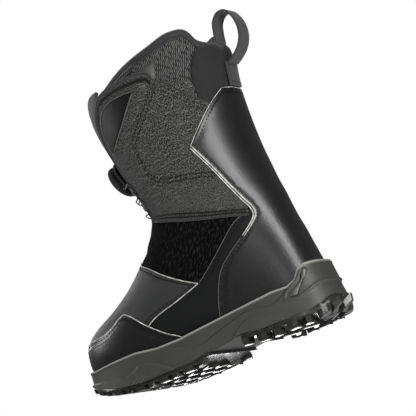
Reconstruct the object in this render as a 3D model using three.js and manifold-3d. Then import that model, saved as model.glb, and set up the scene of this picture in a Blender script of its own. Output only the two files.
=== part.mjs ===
import * as THREE from 'three';
import { mergeVertices } from 'three/addons/utils/BufferGeometryUtils.js';
import Module from 'manifold-3d';

const wasm = await Module();
wasm.setup();

// Snowboard boot, left foot, millimetres. Toe toward -Y, heel toward +Y, lateral side +X,
// up +Z, tread standing on Z 0.

// ---- driving dimensions ------------------------------------------------
const GAP = 0.4;            // clearance left between neighbouring pieces
const LAYER_GAP = 0.9;      // clearance between one layer and the next
const PANEL = 2.2;          // outer panel thickness
const LINING = 2.6;         // shell lining thickness
const LINER_SHAFT = 10;     // liner foam around the shin
const LINER_FOOT = 6.5;     // liner foam around the foot
const SOLE_LIP = 4.5;       // how far the sole stands out past the upper
const HEEL_RAKE = 8;        // extra length of the tread behind the heel
const BOARD = 2.2;          // lasting board thickness
const INSOLE = 9;           // liner foam under the foot
const FOOTBED = 3.5;        // removable footbed thickness
const LACE_R = 0.75;        // half the lace diameter
const DIAL_HEIGHT = 230;    // height of the dial centre on the tongue
const STRAP_W = 22;         // pull loop webbing width
const AROUND = 24;          // facets around the leg and foot
const FAR = 130;            // half length of the side-view cutting prisms
const CENTRE_Y = 2.2;       // shift that puts the origin under the middle of the boot

// Levels of the upper, sole to collar. Each level is a slightly tilted slice:
// front point (y, z), back point (y, z), half-widths toe, ball, waist, heel on the lateral
// side, the same on the medial side, bluntness of the front end and of the back end.
const LEVELS = [
  [-144, 26, 134, 26, 45, 68, 22, 50, 52, 56, 22, 48, 0.62, 0.62],
  [-150, 42, 138, 43, 48, 72, 26, 54, 56, 60, 26, 52, 0.62, 0.62],
  [-151, 57, 137, 58, 50, 72, 28, 54, 57, 60, 28, 52, 0.63, 0.64],
  [-147, 72, 135, 72, 50, 70, 32, 53, 56, 60, 32, 51, 0.66, 0.66],
  [-134, 83, 133, 85, 48, 66, 36, 52, 52, 60, 36, 50, 0.70, 0.68],
  [-111, 93, 131, 99, 46, 62, 40, 51, 48, 58, 40, 49, 0.75, 0.72],
  [-84, 107, 128, 114, 46, 56, 44, 50, 48, 54, 44, 48, 0.80, 0.76],
  [-62, 123, 126, 128, 46, 54, 48, 50, 46, 52, 48, 48, 0.83, 0.80],
  [-47, 138, 124, 142, 46, 54, 52, 50, 46, 52, 52, 50, 0.86, 0.84],
  [-32, 156, 121, 157, 48, 55, 56, 52, 48, 55, 56, 52, 0.88, 0.88],
  [-26, 171, 119, 172, 50, 58, 58, 54, 50, 58, 58, 54, 0.90, 0.90],
  [-32, 200, 116, 200, 54, 62, 62, 56, 54, 62, 62, 56, 0.92, 0.92],
  [-44, 238, 115, 234, 56, 66, 66, 58, 56, 66, 66, 58, 0.94, 0.94],
  [-53, 274, 116, 268, 58, 68, 68, 60, 58, 68, 68, 60, 0.95, 0.95],
  [-55, 304, 121, 300, 58, 68, 70, 62, 58, 68, 70, 62, 0.95, 0.95],
  [-47, 344, 124, 340, 56, 66, 68, 60, 56, 66, 68, 60, 0.95, 0.95],
];
const TOP = LEVELS.length - 1;

// Side-view lines (y, z) that the panels share.
const TOE_SEAM = [[-175, 72], [-120, 72], [-102, 72], [-90, 75], [-77, 81], [-70, 82], [-65, 79],
  [-46, 61], [-28, 46], [-12, 35], [-4, 18]];
const VAMP_TOP = [[-90, 172], [-52, 134], [-45, 127], [-29, 117], [-11, 103], [9, 89], [24, 80]];
const QUARTER_SEAM = [[-47, 59], [-37, 64], [-5, 72], [17, 78], [24, 80]];
const STRIP_FRONT = [[24, 80], [29, 83], [45, 94], [64, 109], [86, 124.5]];
const STRIP_TIP = [[86, 124.5], [100.5, 129]];
const STAY_FRONT = [[111, 261], [98, 244], [86, 228], [71, 209], [84, 179], [100, 135], [103, 127],
  [100, 119], [79, 103], [65, 94], [51, 82], [45, 72], [37, 53], [33, 38], [29, 18]];
const STAY_TOP = [[111, 261], [175, 256]];
const CUFF_LOW = [[-60, 182], [-25, 167], [-7, 160], [15, 152], [33, 145], [58, 137], [90, 127.5],
  [99, 134.5]];
const WING_SEAM = [[60, 290], [39, 270], [19, 253], [10, 244], [9, 235], [10, 225], [11, 213], [14, 198],
  [22, 189], [35, 182], [57, 177], [88, 169]];
const TONGUE_EDGE = [[-15, 304], [-23, 292], [-32, 279], [-33, 267], [-32, 243], [-27, 220], [-21, 200],
  [-16, 183], [-8, 160.5]];
const LINER_EDGE = [[-34, 312], [-34, 292], [-35, 267], [-34, 243], [-29, 220], [-23, 200], [-18, 183],
  [-10, 162], [-20, 152]];
const CUFF_TOP = [[-17, 298], [-2, 300], [29, 300], [48, 299], [55, 297], [60, 290], [74, 278], [81, 268],
  [90, 257], [101, 247.5]];

// Height of the sole's tread and of the bed the foot stands on, along the sole.
const TREAD = [[-175, 34], [-150, 22], [-135, 15.5], [-116, 9], [-93, 4], [-70, 0.6], [-58, 0],
  [-8, 0], [8, 3], [30, 4.5], [56, 3], [72, 0], [128, 0], [140, 3], [150, 9], [175, 26]];
const BED = [[-175, 42], [-130, 37], [-100, 31], [-60, 28], [-20, 28], [30, 31], [80, 33], [175, 34]];
const FEATHER = [[-175, 46], [-150, 45], [-135, 42], [-95, 41], [-69, 40], [-42, 35.5], [-15, 35],
  [53, 40], [95, 43], [112, 42], [121, 46], [127, 55], [133, 58.5], [175, 55]];

// ---- the boot's surface --------------------------------------------------
function level(t) {
  const i = Math.min(Math.max(Math.floor(t), 0), TOP - 1);
  const f = t - i;
  const b = LEVELS[i];
  const c = LEVELS[i + 1];
  return b.map((_, k) => {
    const p = i > 0 ? LEVELS[i - 1][k] : 2 * b[k] - c[k];
    const q = i < TOP - 1 ? LEVELS[i + 2][k] : 2 * c[k] - b[k];
    return 0.5 * (2 * b[k] + (c[k] - p) * f + (2 * p - 5 * b[k] + 4 * c[k] - q) * f * f
      + (3 * b[k] - p - 3 * c[k] + q) * f * f * f);
  });
}

function skin(t, angle) {
  const v = level(t);
  const s = (1 - Math.cos(angle)) / 2;
  const r = 1 - s;
  const blend = [r * r * r, 3 * s * r * r, 3 * s * s * r, s * s * s];
  const first = angle >= 0 ? 4 : 8;
  const half = blend.reduce((sum, w, k) => sum + w * v[first + k], 0);
  const power = v[12] * r + v[13] * s;
  const x = Math.sign(angle) * half * Math.abs(Math.sin(angle)) ** power;
  return new THREE.Vector3(x, v[0] + (v[2] - v[0]) * s, v[1] + (v[3] - v[1]) * s);
}

function skinNormal(t, angle) {
  const e = 0.02;
  const lo = Math.max(t - e, 0);
  const hi = Math.min(t + e, TOP);
  const wrap = (a) => (a > Math.PI ? a - 2 * Math.PI : a < -Math.PI ? a + 2 * Math.PI : a);
  const up = skin(hi, angle).sub(skin(lo, angle));
  const round = skin(t, wrap(angle + e)).sub(skin(t, wrap(angle - e)));
  return round.cross(up).normalize();
}

function offsetPoint(t, angle, d) {
  return skin(t, angle).addScaledVector(skinNormal(t, angle), d);
}

// level and angle of the surface point seen at (y, z) from the side
function locate(y, z, side = 1) {
  let lo = 0;
  let hi = TOP;
  const over = (t) => {
    const v = level(t);
    return (z - v[1]) * (v[2] - v[0]) - (y - v[0]) * (v[3] - v[1]);
  };
  for (let k = 0; k < 40; k += 1) {
    const mid = (lo + hi) / 2;
    if (over(mid) > 0) lo = mid;
    else hi = mid;
  }
  const v = level(lo);
  const chord = (v[2] - v[0]) ** 2 + (v[3] - v[1]) ** 2;
  let s = ((y - v[0]) * (v[2] - v[0]) + (z - v[1]) * (v[3] - v[1])) / chord;
  s = Math.min(Math.max(s, 0.0001), 0.9999);
  return [lo, side * Math.acos(1 - 2 * s)];
}

function curveAt(points, y) {
  for (let k = 1; k < points.length; k += 1) {
    const [y0, z0] = points[k - 1];
    const [y1, z1] = points[k];
    if (y <= y1) return z0 + ((z1 - z0) * (y - y0)) / (y1 - y0);
  }
  return points[points.length - 1][1];
}

// ---- solids ---------------------------------------------------------------
function toSolid(geometry) {
  const bare = new THREE.BufferGeometry();
  bare.setAttribute('position', geometry.getAttribute('position').clone());
  if (geometry.index) bare.setIndex(geometry.index.clone());
  const merged = mergeVertices(bare, 1e-4);
  const vertProperties = new Float32Array(merged.getAttribute('position').array);
  const triVerts = [];
  const ids = merged.index.array;
  for (let k = 0; k < ids.length; k += 3) {
    const [a, b, c] = [ids[k], ids[k + 1], ids[k + 2]];
    if (a !== b && b !== c && a !== c) triVerts.push(a, b, c);
  }
  const mesh = new wasm.Mesh({ numProp: 3, vertProperties, triVerts: new Uint32Array(triVerts) });
  return new wasm.Manifold(mesh);
}

function toGeometry(solid) {
  const mesh = solid.getMesh();
  const geometry = new THREE.BufferGeometry();
  const points = new Float32Array(mesh.numVert * 3);
  for (let k = 0; k < mesh.numVert; k += 1) {
    for (let j = 0; j < 3; j += 1) points[k * 3 + j] = mesh.vertProperties[k * mesh.numProp + j];
    points[k * 3 + 1] += CENTRE_Y;
  }
  geometry.setAttribute('position', new THREE.BufferAttribute(points, 3));
  geometry.setIndex(new THREE.BufferAttribute(new Uint32Array(mesh.triVerts), 1));
  const flat = geometry.toNonIndexed();
  flat.computeVertexNormals();
  return flat;
}

function fromRows(points, rows, closeEnds) {
  // points: rows x AROUND grid going up; a shell gives its rows out and back again
  const n = AROUND;
  const index = [];
  const at = (r, j) => (r % rows) * n + (j % n);
  const last = closeEnds ? rows - 1 : rows;
  for (let r = 0; r < last; r += 1) {
    for (let j = 0; j < n; j += 1) {
      index.push(at(r, j), at(r, j + 1), at(r + 1, j + 1));
      index.push(at(r, j), at(r + 1, j + 1), at(r + 1, j));
    }
  }
  if (closeEnds) {
    for (const [row, up] of [[0, false], [rows - 1, true]]) {
      const face = (a, b, c) => (up ? index.push(at(row, a), at(row, b), at(row, c))
        : index.push(at(row, a), at(row, c), at(row, b)));
      face(0, 1, n - 1);
      for (let k = 1; k < n / 2 - 1; k += 1) {
        face(k, k + 1, n - k - 1);
        face(k, n - k - 1, n - k);
      }
      face(n / 2 - 1, n / 2, n / 2 + 1);
    }
  }
  const geometry = new THREE.BufferGeometry();
  geometry.setAttribute('position', new THREE.Float32BufferAttribute(points, 3));
  geometry.setIndex(index);
  return toSolid(geometry);
}

function ring(t, d) {
  const out = [];
  for (let j = 0; j < AROUND; j += 1) {
    const p = offsetPoint(t, -Math.PI + (2 * Math.PI * j) / AROUND, typeof d === 'function' ? d(t) : d);
    out.push(p.x, p.y, p.z);
  }
  return out;
}

function volume(d) {
  const points = [];
  for (let t = 0; t <= TOP; t += 1) points.push(...ring(t, d));
  return fromRows(points, TOP + 1, true);
}

function shell(outside, inside) {
  const points = [];
  for (let t = 0; t <= TOP; t += 1) points.push(...ring(t, outside));
  for (let t = TOP; t >= 0; t -= 1) points.push(...ring(t, inside));
  return fromRows(points, 2 * (TOP + 1), false);
}

// side-view outline (y, z) pushed through from x0 to x1
function prism(outline, x0 = -FAR, x1 = FAR) {
  const shape = new THREE.Shape(outline.map(([y, z]) => new THREE.Vector2(y, z)));
  const geometry = new THREE.ExtrudeGeometry(shape, { depth: x1 - x0, bevelEnabled: false });
  const turn = new THREE.Matrix4().set(0, 0, 1, x0, 1, 0, 0, 0, 0, 1, 0, 0, 0, 0, 0, 1);
  geometry.applyMatrix4(turn);
  return toSolid(geometry);
}

// plan outline (x, y) pushed up from z0 to z1
function column(outline, z0, z1) {
  const shape = new THREE.Shape(outline.map(([x, y]) => new THREE.Vector2(x, y)));
  const geometry = new THREE.ExtrudeGeometry(shape, { depth: z1 - z0, bevelEnabled: false });
  geometry.translate(0, 0, z0);
  return toSolid(geometry);
}

// a thin strip along a line, as an outline
function ribbon(line, width) {
  const left = [];
  const right = [];
  line.forEach(([y, z], k) => {
    const [py, pz] = line[Math.max(k - 1, 0)];
    const [ny, nz] = line[Math.min(k + 1, line.length - 1)];
    const size = Math.hypot(ny - py, nz - pz);
    const u = (-(nz - pz) / size) * (width / 2);
    const v = ((ny - py) / size) * (width / 2);
    left.push([y + u, z + v]);
    right.push([y - u, z - v]);
  });
  return [...left, ...right.reverse()];
}

function seams(...lines) {
  return lines.map((line) => prism(ribbon(line, GAP * 1.4))).reduce((a, b) => a.add(b));
}

function sideRange(side) {
  return side > 0 ? [0, FAR] : side < 0 ? [-FAR, 0] : [-FAR, FAR];
}

function largest(solid) {
  const parts = solid.decompose();
  parts.sort((a, b) => b.volume() - a.volume());
  return parts[0];
}

// band between two heights measured along the sole
function slab(low, lift0, high, lift1, y0 = -175, y1 = 175) {
  const stops = [...new Set([...low, ...high].map(([y]) => y))].filter((y) => y > y0 && y < y1);
  const ys = [y0, ...stops.sort((a, b) => a - b), y1];
  const bottom = ys.map((y) => [y, curveAt(low, y) + lift0]);
  const top = ys.map((y) => [y, curveAt(high, y) + lift1]).reverse();
  return [...bottom, ...top];
}

const group = new THREE.Group();
group.name = 'snowboard_boot';

function addMesh(name, geometry, color, roughness = 0.8, metalness = 0) {
  const material = new THREE.MeshStandardMaterial({ color, roughness, metalness });
  const mesh = new THREE.Mesh(geometry, material);
  mesh.name = name;
  mesh.castShadow = true;
  group.add(mesh);
}

function add(name, solid, color, roughness, metalness) {
  addMesh(name, toGeometry(largest(solid)), color, roughness, metalness);
}

const reversed = (line) => [...line].reverse();

// ---- layers ----------------------------------------------------------------
const linerFoam = (t) => LINER_FOOT + (LINER_SHAFT - LINER_FOOT) * Math.min(Math.max((t - 4) / 6, 0), 1);
const LINING_OUT = -(PANEL + LAYER_GAP);
const LINING_IN = LINING_OUT - LINING;
const LINER_OUT = LINING_IN - 0.9;
const outerLayer = shell(0, -PANEL);
const liningLayer = shell(LINING_OUT, LINING_IN);
const upperBody = volume(GAP);
const insideLining = volume(LINING_IN - GAP);
const linerBody = volume(LINER_OUT);
const footSpace = volume((t) => LINER_OUT - linerFoam(t));
const aboveBed = prism([...BED.map(([y, z]) => [y, z + GAP]), [175, 400], [-175, 400]]);
const outer = outerLayer.intersect(aboveBed);
const lining = liningLayer.intersect(aboveBed);

// ---- sole --------------------------------------------------------------------
function soleOutline(lip, rake) {
  const out = [];
  for (let j = 0; j < AROUND; j += 1) {
    const angle = -Math.PI + (2 * Math.PI * j) / AROUND;
    const back = Math.max(0, -Math.cos(angle)) ** 3;
    const p = offsetPoint(1.2, angle, lip);
    out.push([p.x, p.y + rake * back]);
  }
  return out;
}

const MID_LOW = TREAD.map(([y, z]) => [y, z + (y > 40 ? 12 : 8)]);
const soleWall = column(soleOutline(SOLE_LIP, 0), -5, 80);
const treadWall = column(soleOutline(SOLE_LIP + 0.8, HEEL_RAKE), -5, 80);
let midsole = soleWall.intersect(prism(slab(MID_LOW, GAP, FEATHER, 0)));
midsole = midsole.subtract(upperBody.intersect(prism([...BED, [175, 400], [-175, 400]])));
const shankY = [-52, 108];
const shank = slab(BED, -2.8, BED, -GAP, ...shankY);
midsole = midsole.subtract(prism(slab(BED, -3.2, BED, 1, shankY[0] - GAP, shankY[1] + GAP), -18.4, 18.4));
const arch = (y0, y1, z0, z1) => [[y0, z0], [y0 + 9, z1], [y1 - 14, z1], [y1, z0 + 1]];
const badge = [[112, 33], [123, 50], [130, 53], [134, 40], [126, 33]];
for (const side of [1, -1]) {
  const [x0, x1] = sideRange(side);
  const pocket = prism(badge, x0, x1).subtract(volume(SOLE_LIP - 2.2));
  midsole = midsole.subtract(pocket);
  const fill = prism([[113, 33.7], [123.4, 49.2], [129.5, 52.2], [133.2, 40.2], [125.8, 33.7]], x0, x1);
  const plate = fill.intersect(soleWall).subtract(volume(SOLE_LIP - 2.2 + GAP));
  add(side > 0 ? 'heel_badge_lateral' : 'heel_badge_medial', plate, 0x35342f);
}
add('midsole', midsole, 0x45443f);
add('shank_plate', prism(shank, -18, 18), 0x2a2a2c, 0.5);

function grooves(list) {
  return list.map(([x0, y0, x1, y1, w]) => {
    const size = Math.hypot(x1 - x0, y1 - y0);
    const u = (-(y1 - y0) / size) * (w / 2);
    const v = ((x1 - x0) / size) * (w / 2);
    return column([[x0 + u, y0 + v], [x0 - u, y0 - v], [x1 - u, y1 - v], [x1 + u, y1 + v]], -10, 60);
  }).reduce((a, b) => a.add(b));
}

function treadPiece(y0, y1, plate, cuts) {
  const body = treadWall.intersect(prism(slab(TREAD, 0, MID_LOW, 0, y0, y1)));
  const deep = prism(slab(TREAD, -12, MID_LOW, -plate, y0 - 2, y1 + 2));
  return body.subtract(grooves(cuts).intersect(deep));
}

const foreCuts = [[0, -175, 0, 20, 7]];
for (let k = 0; k < 5; k += 1) {
  const y = -124 + k * 23;
  foreCuts.push([-80, y - 10, 0, y + 6, 6], [0, y + 6, 80, y - 10, 6]);
}
foreCuts.push([-31, -112, -31, 20, 5], [31, -112, 31, 20, 5]);
add('outsole_forefoot', treadPiece(-175, 12, 3.4, foreCuts), 0x2b2b2a);
const heelCuts = [[0, 40, 0, 175, 8]];
for (let k = 0; k < 3; k += 1) {
  const y = 74 + k * 21;
  heelCuts.push([-70, y + 10, 0, y - 4, 6.5], [0, y - 4, 70, y + 10, 6.5]);
}
add('outsole_heel', treadPiece(50, 175, 5, heelCuts), 0x2b2b2a);

// ---- lower boot ----------------------------------------------------------------
const toeRegion = [...TOE_SEAM, [-175, 18]];
add('toe_cap', outer.intersect(prism(toeRegion)).subtract(seams(TOE_SEAM)), 0x1b1b1c, 0.4);
const vampRegion = [...reversed(TOE_SEAM.slice(0, 8)), [-175, 172], ...VAMP_TOP, ...reversed(QUARTER_SEAM).slice(1, 4)];
add('vamp', outer.intersect(prism(vampRegion)).subtract(seams(TOE_SEAM, VAMP_TOP, QUARTER_SEAM)), 0x3a3b3b);

const quarterRegion = [...QUARTER_SEAM.slice(1), ...STRIP_FRONT.slice(1), [100.5, 129], ...STAY_FRONT.slice(6),
  [-4, 18], [-12, 35], [-28, 46], [-46, 60]];
const gussetRegion = [...VAMP_TOP, ...STRIP_FRONT.slice(1), [100.5, 129], [99.5, 133.5],
  ...reversed(CUFF_LOW.slice(0, 7)), [-90, 194]];
const gussetCuts = seams(VAMP_TOP, STRIP_FRONT, STRIP_TIP, CUFF_LOW, STAY_FRONT);
const gussetSplit = [[-9, 94], [-9, 172]];
for (const side of [1, -1]) {
  const tag = side > 0 ? 'lateral' : 'medial';
  const [x0, x1] = sideRange(side);
  add(`quarter_${tag}`, outer.intersect(prism(quarterRegion, x0, x1))
    .subtract(seams(TOE_SEAM, QUARTER_SEAM, STRIP_FRONT, STRIP_TIP, STAY_FRONT)), 0x2c2c2d);
  const rearGusset = prism([[-9, 60], [150, 60], [150, 190], [-9, 190]], x0, x1);
  add(`ankle_gusset_${tag}`, outer.intersect(prism(gussetRegion)).intersect(rearGusset)
    .subtract(gussetCuts).subtract(seams(gussetSplit)), 0x1c1c1d);
}
const frontGusset = prism([[-90, 60], [-9, 60], [-9, 200], [-90, 200]]);
add('instep_gusset', outer.intersect(prism(gussetRegion)).intersect(frontGusset)
  .subtract(gussetCuts).subtract(seams(gussetSplit)), 0x1c1c1d);

const stayRegion = [...STAY_FRONT, [175, 18], [175, 256]];
add('backstay', outer.intersect(prism(stayRegion)).subtract(seams(STAY_FRONT, STAY_TOP)), 0x151516, 0.35);

// lining, toe puff and heel counter share one layer of the lower boot
const LOWER_TOP = [[-80, 158], [-52, 131], [-45, 124], [-29, 114], [-11, 100], [10, 90], [40, 93],
  [66, 107], [90, 113], [175, 108]];
const lowerRegion = [...LOWER_TOP, [175, 18], [-175, 18], [-175, 158]];
const PUFF_LINE = [[-100, 18], [-100, 66], [-112, 80], [-120, 110]];
const COUNTER_LINE = [[62, 18], [66, 60], [84, 84], [110, 94], [175, 96]];
const lowerLining = lining.intersect(prism(lowerRegion));
const puffRegion = prism([...PUFF_LINE, [-175, 110], [-175, 18]]);
const counterRegion = prism([...COUNTER_LINE, [175, 18]]);
const liningCuts = seams(PUFF_LINE, COUNTER_LINE);
add('lower_lining', lowerLining.subtract(puffRegion).subtract(counterRegion).subtract(liningCuts), 0x202022);
add('toe_puff', lowerLining.intersect(puffRegion).subtract(liningCuts), 0x8a8a86, 0.6);
add('heel_counter', lowerLining.intersect(counterRegion).subtract(liningCuts), 0x8a8a86, 0.6);
add('lasting_board', insideLining.intersect(prism(slab(BED, GAP, BED, GAP + BOARD))), 0x6e6250);

// ---- cuff --------------------------------------------------------------------------
const CUFF_LINE_LOW = [[-9, 162], [15, 153], [33, 146], [58, 138], [90, 128.5], [112, 126], [175, 120]];
const cuffRegion = [[-16, 297], [-2, 299], [29, 299], [48, 298], [54, 296], [59, 289], [73, 277],
  [80, 267], [89, 257], [92, 266], [101, 294], [106, 303], [114, 306], [175, 307],
  ...reversed(CUFF_LINE_LOW), ...reversed(TONGUE_EDGE).slice(1, 7)];
const loopPocket = prism([[100, 286], [140, 286], [140, 330], [100, 330]], -STRAP_W / 2 - 1, STRAP_W / 2 + 1);
add('cuff_lining', lining.intersect(prism(cuffRegion)).subtract(seams(TONGUE_EDGE)).subtract(loopPocket), 0x222224);

const wingRegion = [...TONGUE_EDGE.slice(1, 8), ...CUFF_LOW.slice(2), [99.5, 136], ...reversed(WING_SEAM),
  [55, 297], [48, 299], [29, 300], [-2, 300], [-17, 298]];
const panelRegion = [...WING_SEAM, [84, 179], [71, 209], [86, 228], [98, 244], [101, 247.5], [90, 257],
  [81, 268], [74, 278]];
const collarRegion = [[101, 247.5], [111, 261], [175, 256], [175, 308], [114, 307], [106, 304], [101, 295],
  [92, 266], [91, 257]];
const patchRegion = [[37, 287], [-12, 287], [-20, 278], [-24, 266], [-24, 243], [2, 255]];
for (const side of [1, -1]) {
  const tag = side > 0 ? 'lateral' : 'medial';
  const [x0, x1] = sideRange(side);
  add(`cuff_wing_${tag}`, outer.intersect(prism(wingRegion, x0, x1))
    .subtract(seams(TONGUE_EDGE, CUFF_LOW, STAY_FRONT, WING_SEAM)), 0x2f2f30);
  add(`cuff_panel_${tag}`, outer.intersect(prism(panelRegion, x0, x1))
    .subtract(seams(WING_SEAM, STAY_FRONT, CUFF_TOP)), 0x2f2f30);
  add(`wing_patch_${tag}`, shell(1.6, GAP * 0.8).intersect(prism(patchRegion, x0, x1)), 0x3c3c3d, 0.5);
}
add('rear_collar', outer.intersect(prism(collarRegion))
  .subtract(seams(STAY_FRONT, STAY_TOP, CUFF_TOP)), 0x1e1e1e);

// ---- tongue ---------------------------------------------------------------------------
const tongueRegion = [[-24, 312], ...TONGUE_EDGE.slice(1, 8), [-9, 161], [-25, 167], [-60, 182], [-120, 208],
  [-120, 314], [-40, 314]];
add('shell_tongue', shell(0, -5).intersect(prism(tongueRegion)).subtract(seams(TONGUE_EDGE, CUFF_LOW)), 0x242322);
const tabRegion = [[-120, 303], [-46, 303], [-46, 321], [-120, 321]];
add('tongue_tab', shell(2.2, GAP).intersect(prism(tabRegion, -9, 9)), 0x1a1a1a);

// ---- liner ---------------------------------------------------------------------------------
const LINER_TOP = [[-36, 297], [-10, 303], [27, 313], [66, 321], [92, 327], [101, 326], [109, 312], [175, 304]];
const linerFloor = BOARD + 2 * GAP;
const footFloor = linerFloor + INSOLE;
const linerAll = linerBody.intersect(prism([...BED.map(([y, z]) => [y, z + linerFloor]),
  ...reversed(LINER_TOP), [-175, 297]]));
const cavity = footSpace.intersect(prism([...BED.map(([y, z]) => [y, z + footFloor]), [175, 420], [-175, 420]]));
const linerWall = linerAll.subtract(cavity);
const linerTongueRegion = prism([[-24, 340], ...LINER_EDGE, [-120, 176], [-120, 340]]);
const edgeCut = seams([[-24, 340], ...LINER_EDGE], [[-20, 152], [-120, 176.5]]);
add('liner', linerWall.subtract(linerTongueRegion).subtract(edgeCut), 0x3a3a3c);
const linerTongueBody = linerBody.intersect(prism([[-120, 120], [40, 120], [40, 312], [-120, 312]]));
add('liner_tongue', linerTongueBody.subtract(cavity).intersect(linerTongueRegion).subtract(edgeCut), 0x303032);
add('footbed', volume((t) => LINER_OUT - linerFoam(t) - 0.7)
  .intersect(prism(slab(BED, footFloor + GAP, BED, footFloor + GAP + FOOTBED, -175, 175))), 0x4a5560);

function tube(points, radius, steps, sides = 6) {
  const path = new THREE.CatmullRomCurve3(points, false, 'centripetal');
  const shape = new THREE.Shape();
  for (let k = 0; k < sides; k += 1) {
    const a = (2 * Math.PI * k) / sides;
    const p = [radius * Math.cos(a), radius * Math.sin(a)];
    if (k === 0) shape.moveTo(...p);
    else shape.lineTo(...p);
  }
  shape.closePath();
  return new THREE.ExtrudeGeometry(shape, { steps, bevelEnabled: false, extrudePath: path });
}

// soft binding capping the liner's top edge
const rimLine = LINER_TOP.map(([y, z]) => [y, z + 3]);
const underRim = prism([...LINER_TOP.map(([y, z]) => [y, z + GAP]), [175, 200], [-40, 200]]);
const rim = prism([...ribbon(rimLine, 5.6)]).subtract(underRim);
const rimLayer = shell(LINER_OUT, LINER_OUT - LINER_SHAFT);
add('liner_binding', rimLayer.intersect(rim).subtract(linerTongueRegion).subtract(edgeCut), 0x1c1c1e);

// ---- pull loop -----------------------------------------------------------------------------------
function strap(line, width, thick) {
  const half = ribbon(line, thick);
  return prism(half, -width / 2, width / 2);
}

const backAt = (z) => offsetPoint(locate(170, z)[0], Math.PI, 0).y;
const tab = (z0, z1) => prism([[90, z0], [140, z0], [140, z1], [90, z1]], -STRAP_W / 2, STRAP_W / 2);
add('loop_tab_inner', shell(-3.1, -4.7).intersect(tab(289, 310.4)), 0x232323);
add('loop_tab_outer', shell(1.8, GAP).intersect(tab(260, 284.6)), 0x232323);
const loopLine = [[backAt(311) - 3.9, 311.2], [118.4, 322], [121.5, 332], [129, 338.5], [137, 338], [143, 330], [146, 318],
  [144.5, 306], [137, 294.5], [127.5, 288], [backAt(285) + 2.2, 285.4]];
add('pull_loop', strap(loopLine, STRAP_W, 1.7), 0x232323);

// ---- closure dial on the tongue --------------------------------------------------------------------
const [dialLevel] = locate(-170, DIAL_HEIGHT);
const dialFoot = skin(dialLevel, 0);
const dialAxis = skinNormal(dialLevel, 0);
const dialUp = new THREE.Vector3().crossVectors(dialAxis, new THREE.Vector3(1, 0, 0)).normalize();
const dialFrame = new THREE.Matrix4().makeBasis(new THREE.Vector3(1, 0, 0), dialUp, dialAxis)
  .setPosition(dialFoot);

// turned piece: profile of (radius, height above the tongue)
function turned(profile, sides = 18) {
  const geometry = new THREE.LatheGeometry(profile.map(([r, h]) => new THREE.Vector2(r, h)), sides);
  geometry.rotateX(Math.PI / 2);
  geometry.applyMatrix4(dialFrame);
  return toSolid(geometry);
}

const laceIn = (side) => [[22.5, -17, 1.6], [17.5, -12, 3.6], [13.6, -7, 4.6], [11.9, -2, 4.6], [11.8, 1.5, 4.6]]
  .map(([x, y, h]) => new THREE.Vector3(side * x, y, h).applyMatrix4(dialFrame));
let housing = turned([[0, -7], [20, -7], [20, 1.6], [18.6, 2.4], [15.4, 2.4], [15.4, 7.4], [14, 7.4],
  [14, 2.4], [2.2, 2.4], [2.2, 8], [1.3, 8], [1.3, 3.4], [0, 3.4]]);
housing = housing.subtract(volume(GAP));
for (const side of [1, -1]) {
  const port = new THREE.BoxGeometry(5, 13, 4);
  port.rotateZ(side * 0.72);
  port.translate(side * 15.6, -9.6, 4.2);
  port.applyMatrix4(dialFrame);
  housing = housing.subtract(toSolid(port));
}
add('dial_housing', housing, 0x1b1b1c, 0.5);
add('dial_axle_screw', turned([[0, 3.8], [1, 3.8], [1, 8.3], [2.3, 8.3], [2.3, 9.4], [1.8, 9.9], [0, 9.9]], 12),
  0xb0b0b0, 0.3, 0.9);
add('dial_spool', turned([[2.6, 2.8], [13.6, 2.8], [13.6, 3.3], [10.4, 3.3], [10.4, 5.9], [13.6, 5.9],
  [13.6, 6.8], [2.6, 6.8], [2.6, 2.8]]), 0x9a9a9a, 0.5);
add('dial_ratchet', turned([[2.7, 7.2], [13.4, 7.2], [13.4, 8.3], [2.7, 8.3], [2.7, 7.2]]), 0xc2c2bd, 0.5);
add('dial_knob', turned([[3.4, 8.7], [15.9, 8.7], [15.9, 6.2], [17.2, 6.2], [17.2, 12.2], [16.2, 13.1],
  [10.5, 13.1], [10.5, 12.2], [3.4, 12.2], [3.4, 8.7]]), 0x18181a, 0.45);
add('dial_cap', turned([[0, 10.6], [3.1, 10.6], [3.1, 12.6], [10.1, 12.6], [10.1, 13.3], [9.3, 13.9], [0, 13.9]]),
  0x2a2a2b, 0.4);
const gripShape = new THREE.Shape();
const RIDGES = 12;
for (let k = 0; k < RIDGES * 2; k += 1) {
  const a = (Math.PI * k) / RIDGES;
  const r = k % 2 ? 18.6 : 19.4;
  if (k === 0) gripShape.moveTo(r, 0);
  else gripShape.lineTo(r * Math.cos(a), r * Math.sin(a));
}
gripShape.closePath();
const bore = [];
for (let k = 0; k < 18; k += 1) {
  const a = (-2 * Math.PI * k) / 18;
  bore.push(new THREE.Vector2(17.8 * Math.cos(a), 17.8 * Math.sin(a)));
}
gripShape.holes.push(new THREE.Path(bore));
const gripGeometry = new THREE.ExtrudeGeometry(gripShape, { depth: 5, bevelEnabled: false });
gripGeometry.translate(0, 0, 6.6);
gripGeometry.applyMatrix4(dialFrame);
add('dial_grip', toSolid(gripGeometry), 0x202020, 0.9);

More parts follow.
